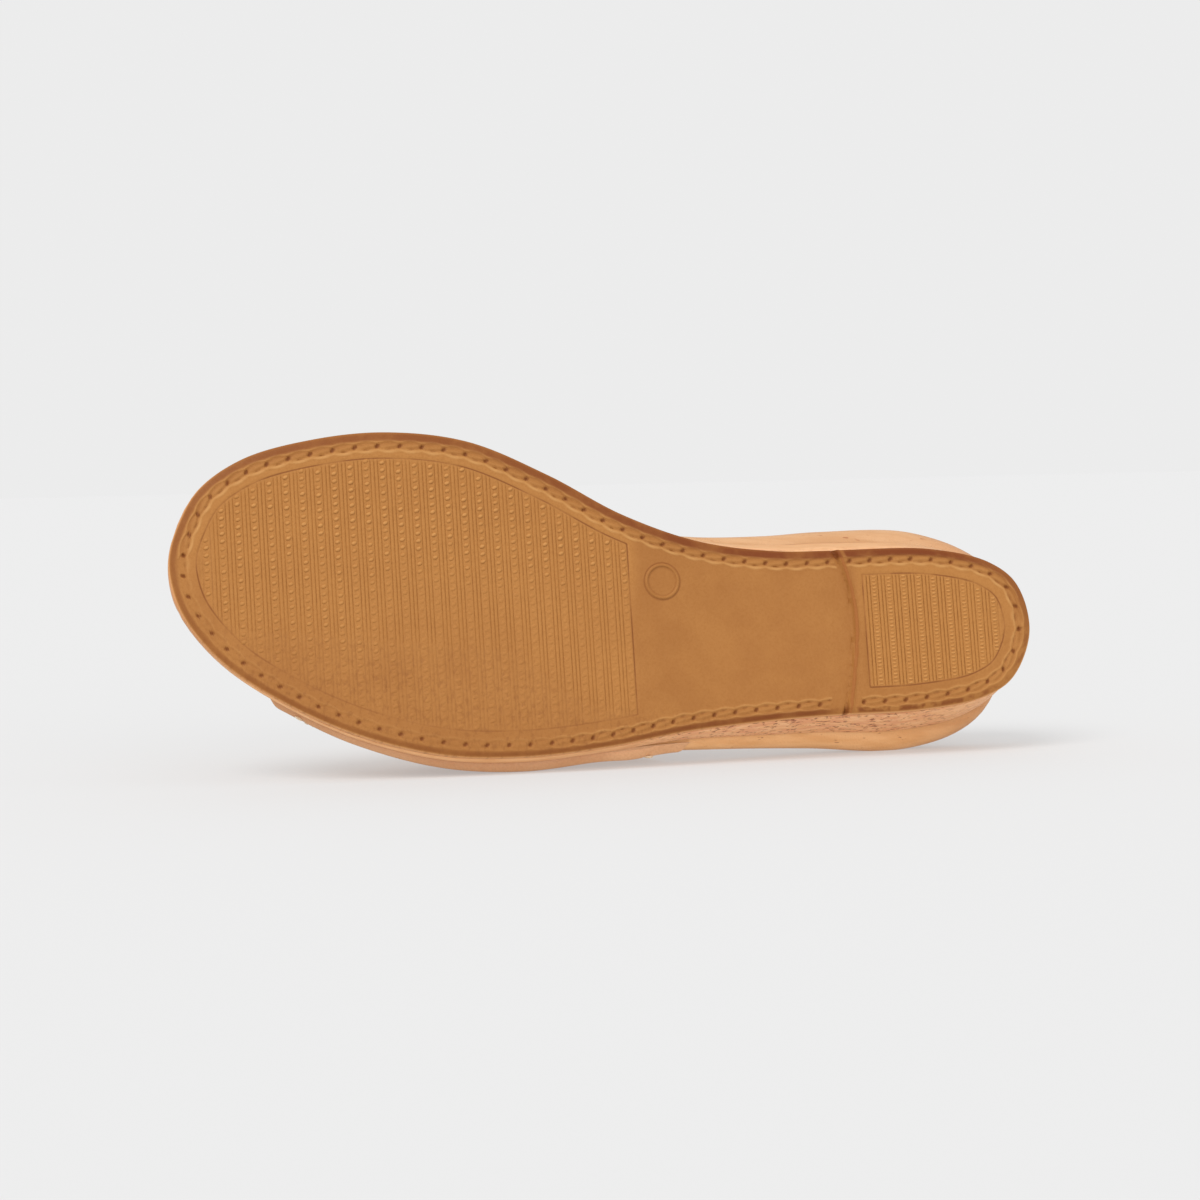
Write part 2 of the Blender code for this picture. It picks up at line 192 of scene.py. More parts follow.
# Burnished edge of the sole, on its medial and lateral side: reach inwards, strength, and
# the share of it on the upright edge, which is bare on the lateral side
Burnish = namedtuple("Burnish", "x reach_med strength_med wall_med reach_lat strength_lat")
BURNISH = [
    Burnish(0.0, 1.9, 0.45, 0.75, 1.7, 0.45),
    Burnish(25.0, 2.1, 0.95, 0.75, 1.7, 0.8),
    Burnish(57.0, 2.3, 0.95, 0.75, 1.8, 0.8),
    Burnish(85.0, 2.35, 0.95, 0.75, 1.9, 0.85),
    Burnish(120.0, 2.5, 0.85, 0.6, 1.6, 0.62),
    Burnish(165.0, 2.4, 0.72, 0.4, 1.7, 0.52),
    Burnish(210.0, 2.4, 0.68, 0.4, 1.7, 0.52),
    Burnish(243.0, 1.9, 0.55, 0.4, 1.8, 0.5),
]
BURNISH_FADE = 0.42
BURNISH_WALL_RUN = 0.8
# Painted light on the sole's upright edge: how deep it reaches, and where it starts and runs round the
# toe
PAINTED_EDGE_LIGHT_DEPTH = 0.3
PAINTED_EDGE_LIGHT_TOE_X = 228.0
PAINTED_EDGE_LIGHT_TOE_RUN = 14.0
SIDE_BLEND = 16.0

# Bare ring on the waist
RING_X = 107.85
RING_Y = 6.1
RING_INNER = 4.3
RING_OUTER = 4.85
RING_SHOULDER = 0.25
RING_HEIGHT = 0.32
RING_LINE = 0.35
RING_ROOT = 0.1
RING_STEPS = 72
RING_FAR = 14.55

# Wedge and footbed
RIM = 0.3
WEDGE_BULGE = 0.2
WEDGE_ROUNDING = 0.15
WEDGE_SIDE_SHARES = (0.08, 0.3, 0.5, 0.7, 0.92)
BED_UNDERCUT = 0.6
BED_TOP_INSET = 2.4
BED_BASE_INSET = 0.3
INSOLE_INSET = 2.0
INSOLE_THICKNESS = 1.4
INSOLE_EDGE = 0.6
DISH_FADE = 14.0
FLECKED_FROM_X = 10.0
FLECKED_BACK = 0.45
FLECKED_TO_X = 92.0
FLECKED_FADE = 30.0
INNER_FLECKS = 0.5
INNER_FLECKS_UP = 0.45

# Upper
WALL = 2.6
EDGE_WALL_SHARE = 0.3
EDGE_ROUND = 1.3
BASE_WALL_SHARE = 0.3
BASE_ROUND_GIRTH = 0.05
SKIVED_RUN = 18.0
SKIVED_GIRTH = 0.25
SKIVED_SHARE = 0.92
FRONT_SKIVED_RUN = 20.0
FRONT_SKIVED_SHARE = 0.12
TUCK = 0.65
TUCK_OVERHANG = 0.6
TUCK_GIRTH = 0.06
UPPER_RISE_SHARE = 0.25
UPPER_BASE_LIFT = -0.25
REAR_EDGE_LATERAL_X = 94.0
REAR_EDGE_MEDIAL_X = 117.0
REAR_EDGE_BOW = 10.0
FRONT_EDGE_LATERAL_X = 214.4
FRONT_EDGE_MEDIAL_X = 211.0
FRONT_EDGE_BOW = 17.0
RISE_PART = 0.1
SIDE_PART = 0.42
CROWN_HANDLE = 0.58
REAR_STITCH_INSET = 10.8
FRONT_STITCH_INSET = 8.0
STITCH_PITCH = 3.7
STITCH_LENGTH = 2.7
THREAD = 0.8
STITCH_LIFT = 0.18
SEAM_HALF_WIDTH = 1.1
SEAM_DEPTH = 0.3
SEAM_GIRTHS = (0.004, 0.996)
SEAM_SAMPLES = 800
STITCH_STEP = 0.003
CREASE_RIDGE = 0.45
CREASE_RIDGE_AWAY = 2.0

# Mesh steps
ROW_STEPS = 24
END_CUT = 1.2
END_FADE = 2.5
FINE_COLUMNS = 24
FINE_ZONE = 9.0
FINE_ZONE_SHARE = 0.3
MIDDLE_COLUMNS = 64
WAIST_STEP = 0.45
WAIST_STEPS_FROM = 60.0
WAIST_STEPS_TO = 99.0
STATION_GAP = 0.15
PLATE_STEP = 2.0
PLATE_COLUMNS = 48
GIRTH_STEPS = 168
LENGTH_STEPS = 104
END_ROWS = (0.0, 0.001, 0.0035, 0.0075, 0.013, 0.021)
ROUND_SEGMENTS = 8
ROUND_RINGS = 6
SHARP_DEG = 50.0
BAND_SHARP_DEG = 60.0
SOLE_SHARP_DEG = 75.0

# Outlines and heights of the sole, a row for each cross-section, as in the solids but for
# the outsole's edge, which stands a little further out at the toe.
# Columns in pairs are the medial and the lateral edge of the outsole, of the wedge's top
# and of the footbed; then come the top of the outsole without its spring, the thickness
# of wedge and footbed, and how deep the footbed's top is dished.
Section = namedtuple(
    "Section",
    "x sole_med sole_lat wedge_med wedge_lat bed_med bed_lat sole_top wedge bed dish",
)
SECTIONS = [
    Section(3.5, 14.1, -12.6, 16.9, -15.8, 20.2, -19.4, 5.0, 13.0, 11.0, 1.2),
    Section(12.0, 19.7, -19.0, 22.6, -22.9, 26.1, -27.4, 5.0, 13.0, 11.0, 2.0),
    Section(30.0, 22.0, -24.0, 26.0, -28.5, 30.2, -33.8, 5.0, 12.8, 11.0, 2.4),
    Section(57.0, 19.4, -27.6, 23.8, -31.4, 27.5, -35.5, 5.0, 11.0, 10.2, 2.1),
    Section(75.0, 17.7, -30.5, 21.3, -33.7, 24.3, -37.0, 4.8, 9.2, 9.0, 1.6),
    Section(98.0, 18.5, -35.1, 20.4, -36.9, 21.6, -39.4, 4.5, 6.6, 7.4, 1.0),
    Section(120.0, 23.8, -41.0, 24.9, -42.0, 21.9, -41.6, 4.2, 4.2, 6.0, 0.7),
    Section(142.0, 33.1, -45.3, 34.0, -46.4, 30.2, -46.0, 4.0, 2.8, 5.0, 0.6),
    Section(165.0, 40.3, -46.7, 41.2, -47.5, 38.1, -46.7, 4.0, 2.3, 4.6, 0.6),
    Section(188.0, 40.8, -43.3, 41.6, -43.7, 38.9, -42.4, 4.0, 2.2, 4.4, 0.6),
    Section(208.0, 37.0, -36.5, 37.6, -36.5, 34.9, -35.0, 4.0, 2.2, 4.2, 0.5),
    Section(226.0, 30.3, -26.8, 30.5, -26.5, 28.9, -25.8, 4.0, 2.2, 4.0, 0.4),
    Section(237.0, 21.3, -16.2, 21.2, -15.9, 20.0, -15.4, 4.0, 2.2, 4.0, 0.3),
    Section(241.5, 12.3, -8.4, 12.0, -8.1, 11.3, -7.8, 4.0, 2.2, 4.0, 0.2),
]

# End points of the three outlines on the shoe's long axis
Ends = namedtuple("Ends", "heel toe")
SOLE_ENDS = Ends((-0.9, 1.0), (243.7, 1.5))
WEDGE_ENDS = Ends((-1.6, 0.8), (243.3, 1.5))
BED_ENDS = Ends((-2.5, 0.6), (242.6, 1.5))

# Rings of the footbed's side, from its top down: inset from its outline, share of the way to
# its tucked lower edge, and share of its height
BedRing = namedtuple("BedRing", "inset tucked share")
BED_RINGS = [
    BedRing(1.8, 0.0, 0.975),
    BedRing(1.3, 0.0, 0.92),
    BedRing(0.9, 0.0, 0.83),
    BedRing(0.6, 0.0, 0.72),
    BedRing(0.2, 0.0, 0.56),
    BedRing(0.0, 0.0, 0.42),
    BedRing(0.0, 0.08, 0.28),
    BedRing(0.0, 0.3, 0.16),
    BedRing(0.0, 0.65, 0.06),
    BedRing(0.0, 1.0, 0.02),
]

# Rings of the insole's rounded edge: inset from its outline, and drop from its top
SockRing = namedtuple("SockRing", "inset drop")
SOCK_RINGS = [
    SockRing(0.3, 0.12),
    SockRing(0.08, 0.32),
    SockRing(0.0, 0.6),
    SockRing(0.0, INSOLE_THICKNESS + SEAT),
]

# The inner face of the upper, a row for each cross-section: the crown's place across the
# foot and its height, how high the straight sides go, and how far they lean in
Arch = namedtuple("Arch", "x crown_y crown_z side_height lean_lat lean_med")
ARCHES = [
    Arch(96.0, -3.0, 73.0, 27.0, 9.0, 9.0),
    Arch(120.0, -2.0, 66.5, 25.0, 9.0, 8.0),
    Arch(145.0, 1.0, 56.5, 22.0, 9.0, 7.0),
    Arch(170.0, 3.0, 48.0, 18.0, 9.0, 6.0),
    Arch(195.0, 4.0, 41.5, 13.0, 10.0, 7.0),
    Arch(220.0, 4.5, 37.0, 8.0, 12.0, 9.0),
]

# Soft creases of the band, where it bends with the ball of the foot: place along the band
# and round it, half length round the band, half width along it, depth and slant
Crease = namedtuple("Crease", "length girth half_girth half_length depth slant")
CREASES = [
    Crease(0.42, 0.30, 0.16, 0.045, 0.55, 0.25),
    Crease(0.50, 0.33, 0.12, 0.035, 0.40, 0.18),
    Crease(0.46, 0.72, 0.15, 0.045, 0.50, -0.22),
    Crease(0.55, 0.69, 0.11, 0.035, 0.35, -0.15),
    Crease(0.62, 0.50, 0.20, 0.050, 0.30, 0.02),
]

# Stretches along the shoe's axes over which a finish changes, each from where it starts
SPOTTED_HEEL_X = (62.0, 52.0)
# Painted shade towards the wedge's toe
CORK_TOE_X = (215.0, 240.0)
# Painted shade towards the wedge's back, on the inner side
CORK_BACK_X = (45.0, 5.0)
# Where the painted shadow along the wedge's top runs, at the heel
CORK_JOINT_SHADE_X = (100.0, 70.0)
# Painted shade towards the footbed's heel end
WRAP_BACK_X = (34.0, 4.0)
# Where the band is painted darker towards its base, over the forefoot
BAND_BASE_SHADE_X = (115.0, 140.0)
BAND_BASE_SHADE_Z = (34.0, 12.0)
LINE_CORE = 0.35

# The photograph's camera, in the shoe's frame
PHOTO_SIDE = 1200
PHOTO_FOCAL_PIXELS = 2891.97
SENSOR = 36.0
LOOKED_AT = Vector((125.3665, -0.6593, 0.0))
TOWARDS_TOE_DEG = 12.3
TOWARDS_LATERAL_DEG = 8.0
CAMERA_DISTANCE = 800.0
CAMERA_ROLL_DEG = -4.8
CLIP_START = 0.01


def smooth(value):
    """A smooth step from 0 to 1."""
    t = np.clip(value, 0.0, 1.0)
    return t * t * (3.0 - 2.0 * t)


def fading(value):
    """A smooth step from 1 to 0."""
    return 1.0 - smooth(value)


def blend(start, end, share):
    """From start (share 0) to end (share 1)."""
    return start + (end - start) * share


def bump(value):
    """A round hump: 1 at 0, falling to 0 at 1 and -1."""
    return np.clip(1.0 - np.square(value), 0.0, 1.0)


def column_at(rows, column, x):
    """A table column read at x, on a smooth curve through its rows."""
    at = np.array([row.x for row in rows])
    value = np.array([getattr(row, column) for row in rows])
    slope = np.empty_like(value)
    slope[1:-1] = (value[2:] - value[:-2]) / (at[2:] - at[:-2])
    slope[0] = (value[1] - value[0]) / (at[1] - at[0])
    slope[-1] = (value[-1] - value[-2]) / (at[-1] - at[-2])
    x = np.clip(x, at[0], at[-1])
    i = np.clip(np.searchsorted(at, x, side="right") - 1, 0, len(rows) - 2)
    width = at[i + 1] - at[i]
    t = (x - at[i]) / width
    rise = value[i + 1] - value[i]
    bend = 3.0 * rise - (2.0 * slope[i] + slope[i + 1]) * width
    twist = (slope[i] + slope[i + 1]) * width - 2.0 * rise
    return value[i] + t * (slope[i] * width + t * (bend + t * twist))


def spring(x):
    """How far the toe curves up from the ground."""
    return SPRING_RISE * np.clip((x - SPRING_START_X) / (SPRING_END_X - SPRING_START_X), 0, 1) ** 2


def from_breast(x, y):
    """Distance from the bowed breast of the heel, above 0 on the waist."""
    across = y - BREAST_MIDDLE_Y
    bow = np.where(across > 0.0, BREAST_BOW_MEDIAL, BREAST_BOW_LATERAL)
    return x - BREAST_X - bow * across * across


def ground(x, y):
    """Height of the sole's lower face: flat heel, stepped waist, flat forefoot, toe spring."""
    climb = smooth((x - BREAST_X) / (WAIST_MIDDLE_X - BREAST_X))
    fall = smooth((x - WAIST_MIDDLE_X) / (WAIST_FRONT_X - WAIST_MIDDLE_X))
    lift = blend(BREAST_STEP, WAIST_LIFT, climb) * (1.0 - fall)
    return lift * smooth(from_breast(x, y) / BREAST_RUN) + spring(x)


def sole_top(x):
    return column_at(SECTIONS, "sole_top", x) + spring(x)


def wedge_bottom(x):
    return sole_top(x) + GAP


def wedge_height(x, share):
    """Height in the wedge, from its bottom (share 0), seated on the sole, to its top."""
    top = wedge_bottom(x) + column_at(SECTIONS, "wedge", x)
    return top - (column_at(SECTIONS, "wedge", x) + SEAT) * (1.0 - share)


def wedge_top(x):
    return wedge_height(x, 1.0)


def bed_bottom(x):
    return wedge_top(x) + GAP


def bed_height(x, share):
    """Height in the footbed, from its bottom (share 0) to the rim of its top (share 1)."""
    return bed_bottom(x) + column_at(SECTIONS, "bed", x) * share


def spline_point(a, b, c, d, t):
    """A centripetal spline through four points, read between the middle two."""
    k1 = math.sqrt((b - a).length)
    k2 = k1 + math.sqrt((c - b).length)
    k3 = k2 + math.sqrt((d - c).length)
    k = k1 + (k2 - k1) * t
    ab = a.lerp(b, k / k1)
    bc = b.lerp(c, (k - k1) / (k2 - k1))
    cd = c.lerp(d, (k - k2) / (k3 - k2))
    abc = ab.lerp(bc, k / k2)
    bcd = bc.lerp(cd, (k - k1) / (k3 - k1))
    return abc.lerp(bcd, (k - k1) / (k2 - k1))


def side_points(edge, before, after):
    """Points of one side of an outline, between its end points and without them."""
    knots = [before, *edge, after]
    points = []
    for i in range(1, len(edge)):
        for step in range(ROW_STEPS):
            points.append(spline_point(*knots[i - 1 : i + 3], step / ROW_STEPS))
    return points[1:]


def outline(column, ends):
    """A closed outline: heel tip, lateral points, toe tip, medial points back to the heel."""
    heel, toe = Vector(ends.heel), Vector(ends.toe)
    lat, med = (
        [heel] + [Vector((row.x, getattr(row, column + side))) for row in SECTIONS] + [toe]
        for side in ("_lat", "_med")
    )
    lat_side = side_points(lat, med[1], med[-2])
    med_side = side_points(med, lat[1], lat[-2])
    return np.array([heel, *lat_side, toe, *reversed(med_side)])


def outward(ring):
    """The outline's outward direction at each of its points."""
    along = np.roll(ring, -1, axis=0) - np.roll(ring, 1, axis=0)
    along /= np.linalg.norm(along, axis=1)[:, None]
    return np.column_stack((along[:, 1], -along[:, 0]))


def grown(ring, distance):
    """The outline moved outwards; a distance under 0 moves it in."""
    return ring + outward(ring) * distance


def length_along(ring):
    """Distance along a closed ring to each of its points, and back to the first."""
    steps = np.linalg.norm(np.roll(ring, -1, axis=0) - ring, axis=1)
    return np.concatenate(([0.0], np.cumsum(steps)))


def ring_at(ring, place):
    """Points of a closed ring at fractional places in it."""
    low = np.floor(place).astype(int)
    share = (place - low)[..., None]
    count = len(ring)
    return blend(ring[low % count], ring[(low + 1) % count], share)


SOLE_OUTLINE = outline("sole", SOLE_ENDS)
WEDGE_OUTLINE = outline("wedge", WEDGE_ENDS)
BED_OUTLINE = outline("bed", BED_ENDS)


def kept_inside(ring, limit, room):
    """The ring, drawn in where it comes nearer than that room to the limit outside it."""
    out = outward(ring)
    short = ((limit - ring) * out).sum(axis=1) - room
    return ring + out * np.minimum(short, 0.0)[:, None]


SOLE_TOP_OUTLINE = kept_inside(SOLE_OUTLINE, WEDGE_OUTLINE, RIM)


def shoe_matrix():
    """From shoe millimetres to the row frame, by the record's two ground contacts."""
    mounts = {mount["name"]: mount for mount in frame["record"]["mounts"]}
    heel = Vector(mounts["heel_pad"]["pos_m"])
    fore = Vector(mounts["forefoot_pad"]["pos_m"])
    up = -Vector(mounts["heel_pad"]["axis"]).normalized()
    run = FOREFOOT_PAD_SPOT - HEEL_PAD_SPOT
    ahead = fore - heel
    ahead = (ahead - up * ahead.dot(up)).normalized()
    toe = Matrix.Rotation(-math.atan2(run.y, run.x), 3, up) @ ahead
    turn = Matrix((toe, up.cross(toe), up)).transposed()
    place = heel - turn @ HEEL_PAD_SPOT * MM
    return Matrix.Translation(place) @ turn.to_4x4() @ Matrix.Scale(MM, 4)


SHOE = shoe_matrix()


def tread_line(x, y):
    """Which skewed line across the sole a point is on, as its x on the long axis."""
    return x - TREAD_SKEW * y


def line_span(ring):
    """The skewed lines of the first and the last rung over an outline."""
    line = tread_line(*ring.T)
    return line.min() + END_CUT, line.max() - END_CUT


def rung_ends(ring, stations):
    """Places on the ring where each skewed rung meets its lateral and its medial side."""
    count = len(ring)
    line = tread_line(*ring.T)
    places = int(np.argmin(line)) + np.arange(count + 1)
    line = line[places % count]
    turn = int(np.argmax(line))
    lateral = np.interp(stations, line[: turn + 1], places[: turn + 1])
    medial = np.interp(stations, line[turn:][::-1], places[turn:][::-1])
    return lateral, medial


def edged_shares(ring, stations):
    """Columns across each rung: close together near both edges, wider in the middle."""
    lateral, medial = rung_ends(ring, stations)
    width = np.linalg.norm(ring_at(ring, medial) - ring_at(ring, lateral), axis=1)[:, None]
    zone = np.minimum(FINE_ZONE / width, FINE_ZONE_SHARE)
    fine = zone * np.linspace(0.0, 1.0, FINE_COLUMNS + 1)
    middle = np.linspace(0.0, 1.0, MIDDLE_COLUMNS + 1)[1:-1]
    return np.hstack((fine, zone + (1.0 - 2.0 * zone) * middle, 1.0 - fine[:, ::-1]))


def rung_grid(ring, stations, shares):
    """Points of a grid of rungs over an outline, and the place of each border point on it."""
    lateral, medial = rung_ends(ring, stations)
    places = np.zeros(shares.shape)
    places[:, 0] = lateral
    places[:, -1] = medial
    places[0] = blend(lateral[0], medial[0] - len(ring), shares[0])
    places[-1] = blend(lateral[-1], medial[-1], shares[-1])
    start, end = ring_at(ring, lateral)[:, None], ring_at(ring, medial)[:, None]
    points = blend(start, end, shares[..., None])
    heel_bulge = ring_at(ring, places[0]) - points[0]
    toe_bulge = ring_at(ring, places[-1]) - points[-1]
    near_heel = np.exp((stations[0] - stations) / END_FADE)[:, None, None]
    near_toe = np.exp((stations - stations[-1]) / END_FADE)[:, None, None]
    return points + near_heel * heel_bulge + near_toe * toe_bulge, places


def plate_grid(ring):
    """An even grid of rungs over the outline of a plain plate."""
    first, last = line_span(ring)
    stations = np.linspace(first, last, int((last - first) / PLATE_STEP) + 1)
    shares = np.tile(np.linspace(0.0, 1.0, PLATE_COLUMNS + 1), (len(stations), 1))
    return rung_grid(ring, stations, shares)


def laid_grid(points, heights, places):
    """A grid mesh over an outline; its border vertices keep their place on it."""
    bm = bmesh.new()
    around = bm.verts.layers.float.new("around")
    rows, columns = heights.shape[0] - 1, heights.shape[1] - 1
    bmesh.ops.create_grid(bm, x_segments=rows, y_segments=columns, size=1.0)
    for vert in bm.verts:
        i = round((vert.co.x + 1.0) * 0.5 * rows)
        j = round((vert.co.y + 1.0) * 0.5 * columns)
        vert.co = (*points[i, j], heights[i, j])
        vert[around] = places[i, j]
    return bm


def draw_border(bm, rings):
    """Draws the mesh's border out through rings, each (outline, height), and closes the last."""
    around = bm.verts.layers.float["around"]
    edges = [edge for edge in bm.edges if edge.is_boundary]
    for ring, height in rings:
        made = bmesh.ops.extrude_edge_only(bm, edges=edges)["geom"]
        verts = verts_of(made)
        edges = [e for e in made if isinstance(e, bmesh.types.BMEdge) and e.is_boundary]
        spots = ring_at(ring, np.array([vert[around] for vert in verts]))
        for vert, spot, z in zip(verts, spots, height(spots[:, 0], spots[:, 1])):
            vert.co = (*spot, z)
    bmesh.ops.triangle_fill(bm, edges=edges, use_beauty=True, normal=(0.0, 0.0, 1.0))


def verts_of(geom):
    """The vertices among what a mesh operator made."""
    return [item for item in geom if isinstance(item, bmesh.types.BMVert)]


def piece(name, bm, materials, node=None, sharp_deg=SHARP_DEG):
    """The mesh as a piece of the sandal, with its shoe millimetres kept as an attribute."""
    bmesh.ops.recalc_face_normals(bm, faces=bm.faces)
    mesh = bpy.data.meshes.new(name)
    bm.to_mesh(mesh)
    bm.free()
    if "around" in mesh.attributes:
        mesh.attributes.remove(mesh.attributes["around"])
    spots = np.empty(len(mesh.vertices) * 3, np.float32)
    mesh.vertices.foreach_get("co", spots)
    mesh.attributes.new("shoe", "FLOAT_VECTOR", "POINT").data.foreach_set("vector", spots)
    mesh.transform(SHOE)
    mesh.shade_smooth()
    mesh.set_sharp_from_angle(angle=math.radians(sharp_deg))
    for material in materials:
        mesh.materials.append(material)
    obj = bpy.data.objects.new(name, mesh)
    bpy.context.scene.collection.objects.link(obj)
    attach(obj, "root")
    if node:
        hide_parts(node)
    return obj


def shoe_spots(obj):
    """The piece's vertices in shoe millimetres."""
    spots = np.empty(len(obj.data.vertices) * 3, np.float32)
    obj.data.attributes["shoe"].data.foreach_get("vector", spots)
    return spots.reshape(-1, 3).astype(float)


def keep(obj, name, values):
    """A number for each vertex, for the piece's material to read."""
    attribute = obj.data.attributes.new(name, "FLOAT", "POINT")
    attribute.data.foreach_set("value", np.asarray(values, np.float32))


# Sole relief

def near_edge(x, y):
    """Depth inside the sole's outline, and place on it, of each point."""
    tree = KDTree(len(SOLE_OUTLINE))
    for i, spot in enumerate(SOLE_OUTLINE):
        tree.insert((*spot, 0.0), i)
    tree.balance()
    nearest = np.array([tree.find((a, b, 0.0))[1] for a, b in zip(x, y)])
    out = outward(SOLE_OUTLINE)[nearest]
    away = np.column_stack((x, y)) - SOLE_OUTLINE[nearest]
    step = np.linalg.norm(np.roll(SOLE_OUTLINE, -1, axis=0) - SOLE_OUTLINE, axis=1)[nearest]
    slide = (away[:, 1] * out[:, 0] - away[:, 0] * out[:, 1]) / step
    return -(away * out).sum(axis=1), nearest + np.clip(slide, -1.0, 1.0)


def ends_depth(x, y):
    """Distance past the end of the heel's or the forefoot's panel, under 0 on the waist."""
    line = tread_line(x, y)
    return np.maximum(HEEL_PANEL_END - line, line - FORE_PANEL_END)


def panel_depth(x, y, depth):
    """Distance inside the contour line of the nearest tread panel, under 0 outside."""
    inset = PANEL_INSET + PANEL_INSET_BACK * fading(x / PANEL_BACK_RUN)
    return np.minimum(depth - inset, ends_depth(x, y))


def worn(x, y):
    """How far the tread is rubbed down, on the outer half of the forefoot."""
    rear = (x > WAIST_MIDDLE_X) * fading((x - WORN_START_X) / WORN_RUN)
    start = WORN_START_Y - WORN_REAR_SHIFT * rear
    reach = WORN_REACH - WORN_REAR_NARROWING * rear
    return WORN_SHARE * (x > WAIST_MIDDLE_X) * smooth((start - y) / reach)


def bead_share(x, y):
    """How much of each bead is left: least on the ball of the foot, and uneven everywhere."""
    ball = BALL_SHARE * smooth((BALL_START_Y - y) / BALL_REACH) * (x > WAIST_MIDDLE_X)
    ball = ball * (1.0 - BALL_TOE_EASE * smooth((x - BALL_TOE_X) / BALL_TOE_RUN))
    return (1.0 - np.maximum(ball, worn(x, y))) * (1.0 - BEAD_UNEVEN * np.sin(x * y) ** 2)


def column_place(x, y):
    """Place within one pitch of the tread's columns."""
    phase = np.where(x < BREAST_X, HEEL_PHASE, FORE_PHASE)
    return np.mod(tread_line(x, y) - phase, TREAD_PITCH)


def groove_share(x, y):
    """How much of each point is in a fine groove of the tread."""
    share = np.zeros_like(x)
    for groove in GROOVES:
        away = np.abs(column_place(x, y) - groove)
        away = np.minimum(away, TREAD_PITCH - away)
        share = np.maximum(share, 1.0 - away / GROOVE_HALF_WIDTH)
    return share


def track_share(x, y):
    """How much of each point is in the sunk track of a bead column."""
    away = np.abs(column_place(x, y) - TRACK_MIDDLE)
    return fading((away - TRACK_HALF_WIDTH + TRACK_EDGE) / TRACK_EDGE)


def medial_share(y):
    """0 on the outer side of the shoe, 1 on its inner side."""
    return smooth(0.5 + y / SIDE_BLEND)


def by_side(rows, column, x, y):
    """A pair of table columns read at x, blended from the lateral to the medial side."""
    medial, lateral = (column_at(rows, column + side, x) for side in ("_med", "_lat"))
    return blend(lateral, medial, medial_share(y))


def pit_share(pit, along, aside):
    """How much of a point is in a pit, by its place from the pit's middle."""
    return bump(np.hypot(along / pit.half_length, aside / pit.half_width))


def stitch_row(x, y, depth, place, breast):
    """Relief of the moulded stitch row and its needle holes, and the painted highlight on the lip
    inside it.
    """
    along = length_along(grown(SOLE_OUTLINE, -ROW_DEPTH))
    count = round(along[-1] / ROW_PITCH)
    turn = np.interp(np.mod(place, len(SOLE_OUTLINE)), np.arange(len(along)), along) / along[-1]
    medial = medial_share(y)
    part = np.mod(turn * count - by_side(ROW_DRIFT, "drift", x, y), 1.0)
    wander = ROW_WANDER * np.sin(2.0 * np.pi * ROW_WANDER_TURNS * turn)
    on_waist = smooth((x - BREAST_X) / (WAIST_MIDDLE_X - BREAST_X))
    deeper = blend(ROW_DEPTH_MEDIAL_HEEL, ROW_DEPTH_MEDIAL, on_waist)
    deeper = deeper * medial + ROW_DEPTH_BACK * fading(x / ROW_BACK_RUN)
    aside = depth - ROW_DEPTH - deeper - wander
    swell = np.sin(np.pi * part)
    past_hole = (part - np.round(part)) * ROW_PITCH
    hole = pit_share(HOLE, past_hole, aside + HOLE_SLANT * past_hole)
    width = LINK_HALF_WIDTH * np.sqrt(swell) + 1e-6
    link = bump((aside - LINK_SLANT * np.cos(np.pi * part)) / width) ** LINK_FLATNESS
    dimple = pit_share(DIMPLE, (part - 0.5) * ROW_PITCH, aside - DIMPLE_ASIDE)
    half = ROW_HALF_WIDTH + ROW_SCALLOP * swell
    channel = fading((np.abs(aside) - half) / ROW_FADE)
    lip = bump((np.abs(aside) - half - ROW_FADE) / SEAM_LIP_HALF_WIDTH)
    behind, ahead = np.where(y[:, None] > 0.0, ROW_BREAK_MEDIAL, ROW_BREAK_LATERAL).T
    shown = np.maximum(smooth((behind - breast) / ROW_FADE), smooth((breast - ahead) / ROW_FADE))
    on_forefoot = smooth((x - FORE_PANEL_END) / WORN_RUN)
    strength = 1.0 - (1.0 - FORE_ROW_SHARE) * on_forefoot * (1.0 - medial)
    relief = channel * (LINK_HEIGHT * link - ROW_CHANNEL) + SEAM_LIP_HEIGHT * lip
    relief = relief - DIMPLE.depth * dimple
    # light is a painted highlight on the lip inside the row, strongest midway between holes and on the
    # inner side
    light = bump((aside - half - ROW_FADE) / SEAM_LIP_HALF_WIDTH)
    light = light * blend(SEAM_HIGHLIGHT_LEAST, 1.0, swell * swell)
    light = light * blend(SEAM_HIGHLIGHT_LATERAL, 1.0, medial) * strength
    return shown * (strength * relief - HOLE.depth * hole), shown * hole, shown * light


def ridge_share(ridge, breast):
    """How much of a point is on a ridge or line along the breast."""
    return bump((breast - ridge.middle) / ridge.half_width)


def breast_relief(y, depth, breast):
    """The lip along the heel's breast, the lines beside it and the notch in the sole's edge."""
    lip = LIP.amount * np.sqrt(ridge_share(LIP, breast))
    heel_line = HEEL_LINE.amount * ridge_share(HEEL_LINE, breast)
    heel_line = heel_line * smooth(np.abs(y - BREAST_MIDDLE_Y) / HEEL_LINE_FADE_Y)
    waist_line = WAIST_LINE.amount * ridge_share(WAIST_LINE, breast)
    notch = NOTCH.amount * ridge_share(NOTCH, breast) * fading(depth / NOTCH_REACH)
    return lip - heel_line - waist_line - notch


def burnish(x, y, depth, breast):
    """How dark the burnished edge is at each point."""
    reach = by_side(BURNISH, "reach", x, y)
    strength = by_side(BURNISH, "strength", x, y)
    wall = column_at(BURNISH, "wall_med", x) * medial_share(y)
    strength = strength * blend(wall, 1.0, smooth(depth / BURNISH_WALL_RUN))
    strength = strength * (1.0 - BARE.amount * ridge_share(BARE, breast))
    return strength * fading((depth - reach + BURNISH_FADE) / (2.0 * BURNISH_FADE))


